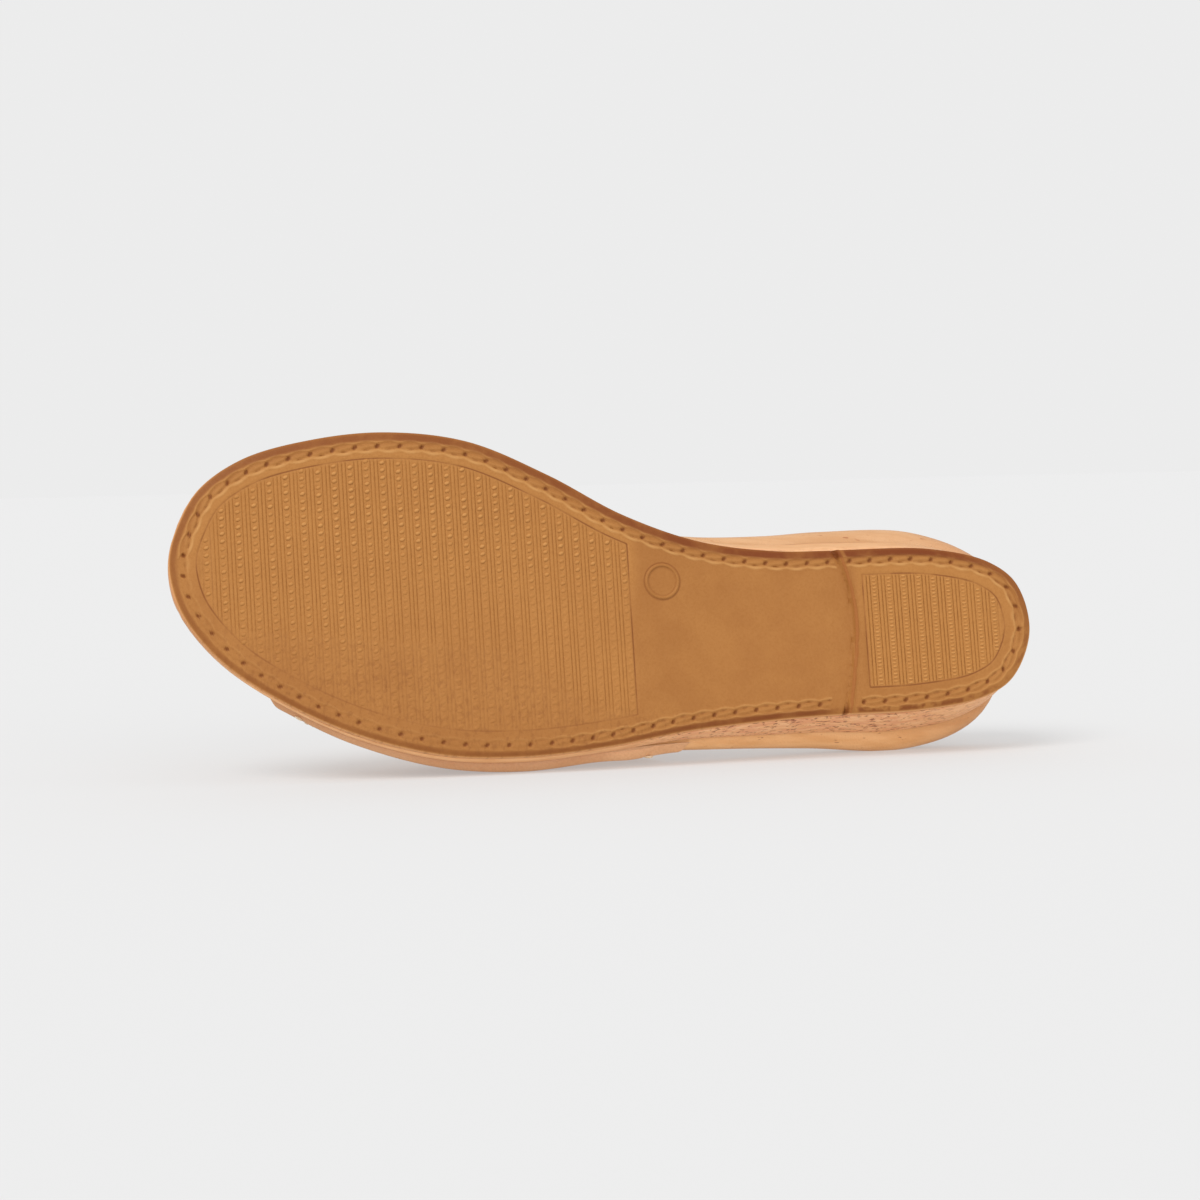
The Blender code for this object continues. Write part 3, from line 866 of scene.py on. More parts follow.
def painted_edge_light(x, y, depth):
    """Painted light on the sole's upright edge: on the outer side and round the toe."""
    round_toe = smooth((x - PAINTED_EDGE_LIGHT_TOE_X) / PAINTED_EDGE_LIGHT_TOE_RUN)
    return np.maximum(1.0 - medial_share(y), round_toe) * fading(depth / PAINTED_EDGE_LIGHT_DEPTH)


def sole_relief(x, y, on_wall=False):
    """Relief of the sole's face, and what its material reads from each point."""
    depth, place = near_edge(x, y)
    depth = np.where(on_wall, 0.0, depth)
    breast = from_breast(x, y)
    inside = panel_depth(x, y, depth)
    shown = 1.0 - worn(x, y)
    contour = bump(inside / CONTOUR_HALF_WIDTH) * shown
    panel = smooth(inside / PANEL_EDGE) * shown
    pale = panel * np.where(x < BREAST_X, HEEL_PALENESS, 1.0)
    margin = smooth((depth - MARGIN_START) / MARGIN_RUN) * smooth(1.0 + ends_depth(x, y) / MARGIN_FADE)
    grooved = smooth(inside / PANEL_EDGE) * (1.0 - WORN_GROOVES * worn(x, y))
    groove = grooved * groove_share(x, y) * np.where(x < BREAST_X, 1.0, FORE_GROOVE_SHARE)
    row, hole, light = stitch_row(x, y, depth, place, breast)
    beside = breast_relief(y, depth, breast)
    relief = row + beside - CONTOUR_DEPTH * contour - GROOVE_DEPTH * groove
    relief = relief - TRACK_SINK * panel * track_share(x, y)
    edge = SOLE_EDGE_RISE * np.clip(1.0 - depth / SOLE_EDGE_INSET, 0.0, 1.0) ** 3
    # The seam highlight key carries the row's painted highlight to the material
    reads = {"burnish": burnish(x, y, depth, breast), "hole": hole, "painted_seam_highlight": light}
    reads.update({"groove": groove, "seam": row, "breast": beside, "rubbed": worn(x, y)})
    # Painted light on the upright edge, outer side and toe
    reads["painted_edge_light"] = painted_edge_light(x, y, depth)
    # panel: lighter tread panels, and on the inner side the margin inside the stitch row, which is a
    # painted highlight
    reads["panel"] = np.maximum(pale, margin * medial_share(y))
    reads["inside"] = np.clip(inside, -PANEL_INSET, PANEL_INSET)
    reads["from_ring"] = np.minimum(np.hypot(x - RING_X, y - RING_Y), RING_FAR)
    return relief - edge, reads


def sole_stations(ring):
    """Rungs of the sole's face: on every break of the tread's profile, and even in the waist."""
    first, last = line_span(ring)
    breaks = [g + side for g in GROOVES for side in (-GROOVE_HALF_WIDTH, 0.0, GROOVE_HALF_WIDTH)]
    breaks = sorted(np.mod([*breaks, *TRACK_BREAKS], TREAD_PITCH))

    def fine(phase, start, end):
        pitches = range(int((start - phase) // TREAD_PITCH), int((end - phase) // TREAD_PITCH) + 1)
        spots = [phase + n * TREAD_PITCH + at for n in pitches for at in breaks]
        return [s for s in spots if start + STATION_GAP < s < end - STATION_GAP]

    heel = fine(HEEL_PHASE, first, WAIST_STEPS_FROM)
    waist = np.arange(WAIST_STEPS_FROM, WAIST_STEPS_TO, WAIST_STEP)
    fore = fine(FORE_PHASE, WAIST_STEPS_TO, last)
    return np.array([first, *heel, *waist, *fore, last])


def make_outsole():
    face = grown(SOLE_OUTLINE, -FACE_INSET)
    stations = sole_stations(face)
    points, places = rung_grid(face, stations, edged_shares(face, stations))
    x, y = points[..., 0].ravel(), points[..., 1].ravel()
    bm = laid_grid(points, (ground(x, y) - sole_relief(x, y)[0]).reshape(places.shape), places)

    def edge_height(inset):
        rise = SOLE_EDGE_RISE * (1.0 - inset / SOLE_EDGE_INSET) ** 3
        return lambda a, b: ground(a, b) + rise - breast_relief(b, inset, from_breast(a, b))

    rings = [(grown(SOLE_OUTLINE, -inset), edge_height(inset)) for inset in SOLE_EDGE_INSETS]
    rings.append((SOLE_TOP_OUTLINE, lambda a, b: sole_top(a) - SOLE_TOP_ROUNDING))
    rings.append((grown(SOLE_TOP_OUTLINE, -SOLE_TOP_ROUNDING), lambda a, b: sole_top(a)))
    draw_border(bm, rings)
    obj = piece("moulded_outsole", bm, [moulded_sole()], "outsole", SOLE_SHARP_DEG)
    x, y, z = shoe_spots(obj).T
    on_wall = z - ground(x, y) > SOLE_EDGE_RISE + NOTCH.amount
    for name, values in sole_relief(x, y, on_wall)[1].items():
        keep(obj, name, values)


def bead_dome(bm, crown):
    """A low closed dome of unit size with its flat base on z = 0, pointing down."""
    bmesh.ops.create_uvsphere(bm, u_segments=ROUND_SEGMENTS, v_segments=ROUND_RINGS, radius=1.0)
    whole = bm.verts[:] + bm.edges[:] + bm.faces[:]
    bmesh.ops.bisect_plane(bm, geom=whole, plane_co=(0, 0, 0), plane_no=(0, 0, 1), clear_outer=True)
    bmesh.ops.holes_fill(bm, edges=[edge for edge in bm.edges if edge.is_boundary], sides=0)
    # crown: how high up the dome each vertex is, which the finish paints a highlight by
    for vert in bm.verts:
        vert[crown] = -vert.co.z
    return bm.verts[:] + bm.edges[:] + bm.faces[:]


def bead_spots(bead, phase, start, end):
    """Where the beads of one tread panel sit, from its rear to its front end."""
    columns = np.arange(int((start - phase) // TREAD_PITCH), int((end - phase) // TREAD_PITCH) + 1)
    across = np.arange(SOLE_OUTLINE[:, 1].min(), SOLE_OUTLINE[:, 1].max(), bead.spacing)
    line, y = np.meshgrid(phase + columns * TREAD_PITCH + TRACK_MIDDLE, across)
    x, y = (line + TREAD_SKEW * y).ravel(), y.ravel()
    depth = near_edge(x, y)[0]
    kept = (panel_depth(x, y, depth) > BEAD_MARGIN) & (depth > 0.0)
    return x[kept], y[kept]


def make_tread_beads():
    """Slanted beads in the tread's columns, lower where the sole is worn."""
    bm = bmesh.new()
    crown = bm.verts.layers.float.new("crown")
    dome = bead_dome(bm, crown)
    line = tread_line(*SOLE_OUTLINE.T)
    panels = (
        (HEEL_BEAD, HEEL_PHASE, line.min(), HEEL_PANEL_END),
        (FORE_BEAD, FORE_PHASE, FORE_PANEL_END, line.max()),
    )
    for bead, phase, start, end in panels:
        x, y = bead_spots(bead, phase, start, end)
        height = bead.height * bead_share(x, y)
        base = ground(x, y) + TRACK_SINK * (1.0 - worn(x, y)) + BEAD_ROOT
        turn = Matrix.Rotation(math.radians(bead.slant_deg), 4, "Z")
        for spot, tall in zip(np.column_stack((x, y, base)), height + BEAD_ROOT):
            size = Matrix.Diagonal((bead.half_length, bead.half_width, tall, 1.0))
            verts = verts_of(bmesh.ops.duplicate(bm, geom=dome)["geom"])
            bmesh.ops.transform(bm, matrix=Matrix.Translation(spot) @ turn @ size, verts=verts)
            for vert in verts:
                vert[crown] *= tall / (bead.height + BEAD_ROOT)
    bmesh.ops.delete(bm, geom=verts_of(dome))
    obj = piece("tread_beads", bm, [tread_rubber()], sharp_deg=SOLE_SHARP_DEG)
    spots = shoe_spots(obj)
    pale = np.where(spots[:, 0] < BREAST_X, HEEL_PALENESS, 1.0)
    keep(obj, "panel", pale * (1.0 - worn(spots[:, 0], spots[:, 1])))


def make_waist_ring():
    """A low moulded ring on the waist, spun from its cross-section."""
    profile = (
        (RING_INNER - RING_SHOULDER, -RING_ROOT),
        (RING_INNER, RING_HEIGHT),
        (RING_OUTER, RING_HEIGHT),
        (RING_OUTER + RING_SHOULDER, -RING_ROOT),
    )
    bm = bmesh.new()
    verts = [bm.verts.new((radius, 0.0, height)) for radius, height in profile]
    edges = [bm.edges.new(pair) for pair in zip(verts, verts[1:] + verts[:1])]
    bmesh.ops.spin(
        bm, geom=verts + edges, cent=(0, 0, 0), axis=(0, 0, 1), angle=2.0 * math.pi,
        steps=RING_STEPS, use_merge=True,
    )
    bmesh.ops.remove_doubles(bm, verts=bm.verts, dist=MERGE)
    for vert in bm.verts:
        x, y = vert.co.x + RING_X, vert.co.y + RING_Y
        vert.co = (x, y, float(ground(x, y)) - vert.co.z)
    piece("waist_ring", bm, [tread_rubber()], sharp_deg=SOLE_SHARP_DEG)


def wedge_share(spots):
    """How far up the wedge each point is: 0 on its bottom, 1 on its top."""
    x, _, z = spots.T
    return (z - wedge_bottom(x)) / column_at(SECTIONS, "wedge", x)


def fleck_share(spots):
    """How thick the cork's flecks lie: dense on the outer heel, few elsewhere."""
    x, y, _ = spots.T
    outer = fading((x - FLECKED_TO_X) / FLECKED_FADE)
    outer = outer * blend(FLECKED_BACK, 1.0, smooth((x - FLECKED_FROM_X) / FLECKED_FADE))
    inner = INNER_FLECKS * fading(wedge_share(spots) / INNER_FLECKS_UP)
    return outer * blend(1.0, inner, medial_share(y))


def make_wedge():
    low = grown(SOLE_TOP_OUTLINE, RIM)

    def side(share):
        on_end = share in (WEDGE_SIDE_SHARES[0], WEDGE_SIDE_SHARES[-1])
        ring = blend(low, WEDGE_OUTLINE, share)
        return grown(ring, 0.0 if on_end else WEDGE_BULGE), lambda a, b: wedge_height(a, share)

    points, places = plate_grid(grown(low, -WEDGE_ROUNDING))
    bm = laid_grid(points, wedge_height(points[..., 0], 0.0), places)
    rings = [side(share) for share in WEDGE_SIDE_SHARES]
    draw_border(bm, rings + [(grown(WEDGE_OUTLINE, -WEDGE_ROUNDING), lambda a, b: wedge_top(a))])
    obj = piece("cork_wedge", bm, [cork_wrap()], "wedge")
    spots = shoe_spots(obj)
    keep(obj, "up", wedge_share(spots))
    keep(obj, "flecked", fleck_share(spots))


def bed_foot():
    """The footbed's lower edge: tucked in over the wedge's top, and never wider than it."""
    return kept_inside(grown(BED_OUTLINE, -BED_UNDERCUT), WEDGE_OUTLINE, BED_UNDERCUT)


def dish_depth(x):
    """Depth of the footbed's dish on its middle line, fading out at heel and toe."""
    heel, toe = BED_ENDS.heel[0], BED_ENDS.toe[0]
    fade = smooth((x - heel) / DISH_FADE) * smooth((toe - x) / DISH_FADE)
    return column_at(SECTIONS, "dish", x) * fade


def dish(points):
    """How far a grid of rungs is dished: nothing on its sides, most on its middle."""
    across = np.linspace(-1.0, 1.0, points.shape[1])[None, :]
    return dish_depth(points[..., 0]) * (1.0 - across * across)


def make_footbed():
    foot = bed_foot()

    def side(row):
        ring = blend(grown(BED_OUTLINE, -row.inset), foot, row.tucked)
        return ring, lambda a, b: bed_height(a, row.share)

    points, places = plate_grid(grown(BED_OUTLINE, -BED_TOP_INSET))
    bm = laid_grid(points, bed_height(points[..., 0], 1.0) - dish(points), places)
    rings = [side(row) for row in BED_RINGS]
    draw_border(bm, rings + [(grown(foot, -BED_BASE_INSET), lambda a, b: bed_bottom(a) - SEAT)])
    obj = piece("wrapped_footbed", bm, [wrap_leather()], "footbed")
    x, _, z = shoe_spots(obj).T
    keep(obj, "up", (z - bed_bottom(x)) / column_at(SECTIONS, "bed", x))


def sock_share(x):
    """The insole's half width as a share of the dished half width."""
    width = column_at(SECTIONS, "bed_med", x) - column_at(SECTIONS, "bed_lat", x)
    return 1.0 - INSOLE_INSET / (0.5 * width - BED_TOP_INSET)


def sock_edge_height(x):
    """Height of the dished footbed under the insole's edge."""
    return bed_height(x, 1.0) - dish_depth(x) * (1.0 - sock_share(x) ** 2) + GAP


def make_insole():
    """The sock follows the footbed's dish at an even thickness."""
    edge = grown(BED_OUTLINE, -BED_TOP_INSET - INSOLE_INSET)
    points, places = plate_grid(grown(edge, -INSOLE_EDGE))
    sunk = dish(points) * sock_share(points[..., 0]) ** 2
    top = sock_edge_height(points[..., 0]) + INSOLE_THICKNESS - sunk
    bm = laid_grid(points, top, places)

    def side(row):
        return grown(edge, -row.inset), lambda a, b: sock_edge_height(a) + INSOLE_THICKNESS - row.drop

    draw_border(bm, [side(row) for row in SOCK_RINGS])
    piece("sock_insole", bm, [sock_leather()], "insole")


def arch_half(x, edge, crown, lean, part):
    """One half of the upper's inner face at x: part 0 is its base, part 1 its crown."""
    base = float(bed_bottom(x)) + UPPER_BASE_LIFT
    knee = float(bed_height(x, UPPER_RISE_SHARE))
    towards = 1.0 if crown.x > edge else -1.0
    side = float(column_at(ARCHES, "side_height", x))
    slope = math.tan(math.radians(lean))
    shoulder = Vector((edge + towards * side * slope, knee + side))
    if part < RISE_PART:
        return Vector((edge, blend(base, knee, part / RISE_PART)))
    if part < SIDE_PART:
        share = (part - RISE_PART) / (SIDE_PART - RISE_PART)
        return Vector((edge, knee)).lerp(shoulder, share)
    upward = Vector((towards * slope, 1.0)) * (crown.y - shoulder.y) * CROWN_HANDLE
    level = Vector((crown.x - (crown.x - shoulder.x) * CROWN_HANDLE, crown.y))
    t = (part - SIDE_PART) / (1.0 - SIDE_PART)
    s = 1.0 - t
    return (
        shoulder * s**3
        + (shoulder + upward) * 3.0 * s * s * t
        + level * 3.0 * s * t * t
        + crown * t**3
    )


def band_x(girth, length):
    """Place along the shoe of a point of the band, between its bowed rear and front edges."""
    bow = math.sin(math.pi * girth)
    rear = blend(REAR_EDGE_LATERAL_X, REAR_EDGE_MEDIAL_X, girth) + REAR_EDGE_BOW * bow
    front = blend(FRONT_EDGE_LATERAL_X, FRONT_EDGE_MEDIAL_X, girth) - FRONT_EDGE_BOW * bow
    return blend(rear, front, length)


def band_side(girth):
    """The side of the foot that a point of the band is on: its columns, and which way is out."""
    return ("_lat", -1.0) if girth <= 0.5 else ("_med", 1.0)


def upper_point(girth, length):
    """Inner face of the upper: girth 0 to 1 over the foot, length 0 to 1 from rear to front."""
    x = band_x(girth, length)
    side, out = band_side(girth)
    crown = Vector((column_at(ARCHES, "crown_y", x), column_at(ARCHES, "crown_z", x)))
    edge = float(column_at(SECTIONS, "bed" + side, x)) + out * GAP
    lean = float(column_at(ARCHES, "lean" + side, x))
    point = arch_half(x, edge, crown, lean, 2.0 * min(girth, 1.0 - girth))
    return Vector((x, point.x, point.y))


def crease_depth(girth, length):
    """How far the band is pressed in by its creases."""
    depth = 0.0
    for crease in CREASES:
        across = (girth - crease.girth) / crease.half_girth
        along = (length - crease.length - crease.slant * (girth - crease.girth)) / crease.half_length
        ridge = CREASE_RIDGE * math.exp(-((abs(along) - CREASE_RIDGE_AWAY) ** 2))
        depth += crease.depth * (math.exp(-along * along) - ridge) * math.exp(-across * across)
    return depth


@functools.lru_cache(maxsize=None)
def band_length(girth):
    """Distance from the rear to the front edge of the band, along its length."""
    return (upper_point(girth, 1.0) - upper_point(girth, 0.0)).length


def from_edges(girth, length):
    """Distances of a point of the band from its rear and from its front edge."""
    return length * band_length(girth), (1.0 - length) * band_length(girth)


def seam_depth(girth, length):
    """The two seams draw the leather down a little along their stitches."""
    from_rear, from_front = from_edges(girth, length)
    away = min(abs(from_rear - REAR_STITCH_INSET), abs(from_front - FRONT_STITCH_INSET))
    return SEAM_DEPTH * float(bump(away / SEAM_HALF_WIDTH))


def rounded(distance, reach, share):
    """From a share at a free edge to 1 inside it, on a quarter circle."""
    away = 1.0 - min(distance / reach, 1.0)
    return blend(share, 1.0, math.sqrt(1.0 - away * away))


def wall_thickness(girth, length):
    """The wall: round at its free edges, and skived thin at both ends of its base."""
    base = min(girth, 1.0 - girth)
    from_rear, from_front = from_edges(girth, length)
    wall = WALL * rounded(base, BASE_ROUND_GIRTH, BASE_WALL_SHARE)
    wall *= rounded(min(from_rear, from_front), EDGE_ROUND, EDGE_WALL_SHARE)
    rear = SKIVED_SHARE * fading(from_rear / SKIVED_RUN)
    front = FRONT_SKIVED_SHARE * fading(from_front / FRONT_SKIVED_RUN)
    return wall * (1.0 - float((rear + front) * fading(base / SKIVED_GIRTH)))


def base_tuck(girth, length):
    """How far the band's base is drawn in under the footbed's edge: most where that overhangs."""
    x = band_x(girth, length)
    side, out = band_side(girth)
    over = column_at(SECTIONS, "bed" + side, x) - column_at(SECTIONS, "wedge" + side, x)
    tuck = TUCK + TUCK_OVERHANG * max(out * float(over), 0.0)
    return tuck * float(fading(min(girth, 1.0 - girth) / TUCK_GIRTH))


def row_place(row):
    """Place along the band of a mesh row; rows stand close together at both ends."""
    last = len(END_ROWS) - 1
    if row <= last:
        return END_ROWS[row]
    if row >= LENGTH_STEPS - last:
        return 1.0 - END_ROWS[LENGTH_STEPS - row]
    share = (row - last) / (LENGTH_STEPS - 2 * last)
    return END_ROWS[last] + (1.0 - 2.0 * END_ROWS[last]) * share


def make_upper():
    """One open band over the forefoot, with a rounded edge all round and a lining inside."""
    bm = bmesh.new()
    girths = bm.verts.layers.float.new("girth")
    lengths = bm.verts.layers.float.new("length")
    bmesh.ops.create_grid(bm, x_segments=GIRTH_STEPS, y_segments=LENGTH_STEPS, size=0.5)
    for vert in bm.verts:
        vert[girths] = vert.co.x + 0.5
        vert[lengths] = row_place(round((vert.co.y + 0.5) * LENGTH_STEPS))
        vert.co = upper_point(vert[girths], vert[lengths])
    bmesh.ops.recalc_face_normals(bm, faces=bm.faces)
    bm.normal_update()
    middle = bm.verts[:][len(bm.verts) // 2]
    outer_side = 1.0 if middle.normal.z > 0.0 else -1.0
    normals = {}
    for vert in bm.verts:
        normals[vert[girths], vert[lengths]] = vert.normal.copy() * outer_side
    made = bmesh.ops.extrude_face_region(bm, geom=bm.faces[:], use_keep_orig=True)["geom"]
    raised = set(verts_of(made))
    for vert in bm.verts:
        at = vert[girths], vert[lengths]
        offset = -crease_depth(*at) - base_tuck(*at)
        if vert in raised:
            offset += wall_thickness(*at) - seam_depth(*at)
        vert.co += normals[at] * offset
    for face in made:
        if isinstance(face, bmesh.types.BMFace):
            face.material_index = 1
    finishes = [band_lining(), band_leather()]
    piece("leather_band", bm, finishes, "upper", BAND_SHARP_DEG)


def rear_seam(girth):
    """Place along the band of the seam beside its rear edge."""
    return REAR_STITCH_INSET / band_length(girth)


def front_seam(girth):
    """Place along the band of the seam beside its front edge."""
    return 1.0 - FRONT_STITCH_INSET / band_length(girth)


def seam_places(seam):
    """Girths of evenly spaced stitches along a seam."""
    fine = np.linspace(*SEAM_GIRTHS, SEAM_SAMPLES)
    spots = np.array([upper_point(g, seam(g)) for g in fine])
    run = np.concatenate(([0.0], np.cumsum(np.linalg.norm(np.diff(spots, axis=0), axis=1))))
    count = int(run[-1] / STITCH_PITCH)
    return np.interp((np.arange(count) + 0.5) * run[-1] / count, run, fine)


def stitch_matrix(girth, seam):
    """Place, direction and size of one stitch, which lies on the leather along its seam."""
    length = seam(girth)
    before, after = girth - STITCH_STEP, girth + STITCH_STEP
    along = (upper_point(after, seam(after)) - upper_point(before, seam(before))).normalized()
    ahead = upper_point(girth, length + STITCH_STEP) - upper_point(girth, length - STITCH_STEP)
    out = ahead.cross(along).normalized()
    lift = wall_thickness(girth, length) - crease_depth(girth, length)
    lift += STITCH_LIFT - seam_depth(girth, length)
    turn = Matrix((along, out.cross(along), out)).transposed().to_4x4()
    size = Matrix.Diagonal((STITCH_LENGTH / 2.0, THREAD / 2.0, THREAD / 2.0, 1.0))
    return Matrix.Translation(upper_point(girth, length) + out * lift) @ turn @ size


def make_stitches():
    """Short stitches of pale thread in two seams, along the rear and the front of the band."""
    bm = bmesh.new()
    for seam in (rear_seam, front_seam):
        for girth in seam_places(seam):
            bmesh.ops.create_uvsphere(
                bm, u_segments=ROUND_SEGMENTS, v_segments=ROUND_RINGS, radius=1.0,
                matrix=stitch_matrix(girth, seam),
            )
    piece("band_stitches", bm, [waxed_thread()])


# Finishes

def shade(red, green, blue):
    """A display colour of 0 to 255 as the linear colour that a shader takes."""
    parts = [c / 255.0 for c in (red, green, blue)]
    return [c / 12.92 if c <= 0.04045 else ((c + 0.055) / 1.055) ** 2.4 for c in parts] + [1.0]


class Finish:
    """A procedural material: a few kinds of node, and one colour that is tinted step by step."""

    def __init__(self, name, roughness, specular=0.5):
        self.material = bpy.data.materials.new(name)
        self.material.use_nodes = True
        self.tree = self.material.node_tree
        self.shader = self.tree.nodes["Principled BSDF"]
        self.shader.inputs["Roughness"].default_value = roughness
        self.shader.inputs["Specular IOR Level"].default_value = specular
        self.colour = None

    def node(self, kind, inputs, **settings):
        made = self.tree.nodes.new("ShaderNode" + kind)
        for name, value in settings.items():
            setattr(made, name, value)
        for name, value in inputs.items():
            if isinstance(value, bpy.types.NodeSocket):
                self.tree.links.new(value, made.inputs[name])
            else:
                made.inputs[name].default_value = value
        return made

    def read(self, name, output="Fac"):
        """What is kept on the piece's vertices under a name."""
        return self.node("Attribute", {}, attribute_name=name).outputs[output]

    def over(self, axis, stretch, strength=1.0):
        """From 0 to a strength over a stretch along one of the shoe's axes."""
        place = self.node("SeparateXYZ", {0: self.read("shoe", "Vector")}).outputs[axis]
        return self.ramp(place, *stretch, 0.0, strength)

    def medial(self):
        """0 on the outer side of the shoe, 1 on its inner side."""
        return self.over("Y", (-0.5 * SIDE_BLEND, 0.5 * SIDE_BLEND))

    def noise(self, scale, detail, rough):
        """Cloudy noise: one scale counts per metre, three per millimetre of the shoe's axes."""
        if isinstance(scale, tuple):
            inputs = {0: self.read("shoe", "Vector"), 1: scale}
            vector = self.node("VectorMath", inputs, operation="MULTIPLY").outputs["Vector"]
            scale = 1.0
        else:
            vector = self.node("TexCoord", {}).outputs["Object"]
        inputs = {"Vector": vector, "Scale": scale, "Detail": detail, "Roughness": rough}
        return self.node("TexNoise", inputs).outputs["Fac"]

    def cells(self, scale):
        """Small cells, their scale counted per metre."""
        vector = self.node("TexCoord", {}).outputs["Object"]
        return self.node("TexVoronoi", {"Vector": vector, "Scale": scale}).outputs["Distance"]

    def ramp(self, value, low, high, start=0.0, end=1.0):
        """The value moved from low..high to start..end on a smooth step."""
        inputs = {"Value": value, "From Min": low, "From Max": high, "To Min": start, "To Max": end}
        return self.node("MapRange", inputs, interpolation_type="SMOOTHSTEP").outputs["Result"]

    def math(self, operation, *values):
        return self.node("Math", dict(enumerate(values)), operation=operation).outputs[0]

    def times(self, a, b):
        return self.math("MULTIPLY", a, b)

    def line(self, value, at, half_width):
        """1 where the value is at a given number, 0 beside it."""
        away = self.math("ABSOLUTE", self.math("SUBTRACT", value, at))
        return self.ramp(away, half_width, LINE_CORE * half_width)

    def mix(self, factor, *colours):
        """Two colours mixed; each is a socket or a display colour."""
        a, b = (c if isinstance(c, bpy.types.NodeSocket) else shade(*c) for c in colours)
        return self.node("Mix", {"Factor": factor, 6: a, 7: b}, data_type="RGBA").outputs[2]

    def tint(self, factor, *display):
        """Lays a display colour over the colour so far."""
        self.colour = self.mix(factor, self.colour, display)

    def done(self, height, depth, roughness=None):
        """Links colour, roughness and a fine surface relief of that depth in millimetres."""
        self.tree.links.new(self.colour, self.shader.inputs["Base Color"])
        if roughness is not None:
            self.tree.links.new(roughness, self.shader.inputs["Roughness"])
        relief = self.node("Bump", {"Height": height, "Strength": 1.0, "Distance": depth * MM})
        self.tree.links.new(relief.outputs["Normal"], self.shader.inputs["Normal"])
        return self.material


def ochre(name):
    """The sole's ochre, softly clouded, with a fine grain; lighter on the tread panels, and on the
    inner side's margin as a painted highlight.
    """
    finish = Finish(name, 0.55, specular=0.15)
    cloud = finish.noise(60.0, 4.0, 0.6)
    grain = finish.noise(1400.0, 3.0, 0.7)
    finish.colour = finish.mix(finish.ramp(cloud, 0.35, 0.68), (153, 100, 49), (160, 107, 54))
    # Lighter on the tread panels; on the inner margin this is a painted highlight
    finish.tint(finish.times(finish.read("panel"), 0.6), 171, 117, 60)
    finish.tint(finish.ramp(grain, 0.4, 0.7, 0.0, 0.25), 138, 87, 41)
    return finish, grain


def burnt_edge(finish):
    """The burnish of the sole's edge: patchy, and in spots on the outer side of the heel."""
    patchy = finish.ramp(finish.noise(110.0, 3.0, 0.6), 0.3, 0.55, 0.65, 1.0)
    dabs = finish.noise((0.32, 0.32, 0.0), 2.0, 0.5)
    spotted = finish.ramp(dabs, 0.4, 0.6, 0.05, 0.95)
    outer_heel = finish.times(finish.over("X", SPOTTED_HEEL_X), finish.ramp(finish.medial(), 1.0, 0.0))
    return finish.times(finish.read("burnish"), finish.ramp(outer_heel, 0.0, 1.0, patchy, spotted))


def moulded_sole():
    """Ochre moulded sole with a burnished edge; painted shade in holes, channel, breast lines, contour
    and round the ring, with dirt too in the grooves; painted highlights on links, lips and the upright
    edge.
    """
    finish, grain = ochre("moulded_sole")
    # Painted highlight on the raised links and lip of the stitch row
    raised = finish.ramp(finish.read("seam"), 0.02, 0.16, 0.0, 0.5)
    finish.tint(raised, 180, 128, 72)
    lip = finish.ramp(finish.read("breast"), 0.02, 0.12, 0.0, 0.7)
    finish.tint(lip, 146, 86, 40)
    # Painted shade in the sunk channel, dimples and holes of the stitch row
    sunk = finish.ramp(finish.read("seam"), -0.05, -0.3, 0.0, 0.35)
    finish.tint(sunk, 120, 68, 30)
    # Painted highlight on the lip inside the stitch row
    finish.tint(finish.times(finish.read("painted_seam_highlight"), 0.85), 182, 133, 79)
    finish.tint(burnt_edge(finish), 110, 53, 20)
    # Painted light on the sole's upright edge, on the outer side and round the toe
    finish.tint(finish.times(finish.read("painted_edge_light"), 0.75), 228, 170, 116)
    # Painted shade in the lines and the notch beside the heel's breast
    cut_shade = finish.ramp(finish.read("breast"), -0.05, -0.6, 0.0, 0.7)
    finish.tint(cut_shade, 112, 58, 24)
    # Dirt and painted shade in the fine grooves, uneven
    uneven = finish.ramp(finish.noise(170.0, 2.0, 0.6), 0.35, 0.65, 0.14, 0.6)
    finish.tint(finish.times(finish.read("groove"), uneven), 118, 68, 28)
    scuffs = finish.ramp(finish.noise((0.75, 0.5, 0.0), 3.0, 0.65), 0.48, 0.66, 0.0, 0.5)
    finish.tint(finish.times(finish.read("rubbed"), scuffs), 124, 74, 34)
    # Painted shade in the panels' contour groove, broken up, and fainter where the tread is rubbed
    fresh = finish.ramp(finish.read("rubbed"), 0.0, 1.0, 0.72, 0.25)
    broken = finish.ramp(finish.noise((0.09, 0.09, 0.0), 2.0, 0.5), 0.4, 0.58, 0.35, 1.0)
    contour = finish.line(finish.read("inside"), 0.0, CONTOUR_HALF_WIDTH)
    finish.tint(finish.times(contour, finish.times(fresh, broken)), 112, 60, 24)
    # Painted shade round the foot of the waist ring, outside and inside
    for radius, strength in ((RING_OUTER + RING_LINE, 0.45), (RING_INNER - RING_LINE, 0.15)):
        ring = finish.line(finish.read("from_ring"), radius, RING_LINE)
        finish.tint(finish.times(ring, strength), 116, 64, 26)
    # Painted shade in the needle holes
    finish.tint(finish.ramp(finish.read("hole"), 0.05, 0.9, 0.0, 0.85), 108, 54, 14)
    return finish.done(grain, 0.05, finish.ramp(grain, 0.3, 0.7, 0.5, 0.65))


def tread_rubber():
    """The sole's ochre on its beads and ring, with a painted highlight on the beads' tops."""
    finish, grain = ochre("tread_rubber")
    # Painted highlight on the tops of the beads
    finish.tint(finish.ramp(finish.read("crown"), 0.25, 1.0, 0.0, 0.6), 192, 139, 81)
    return finish.done(grain, 0.05)


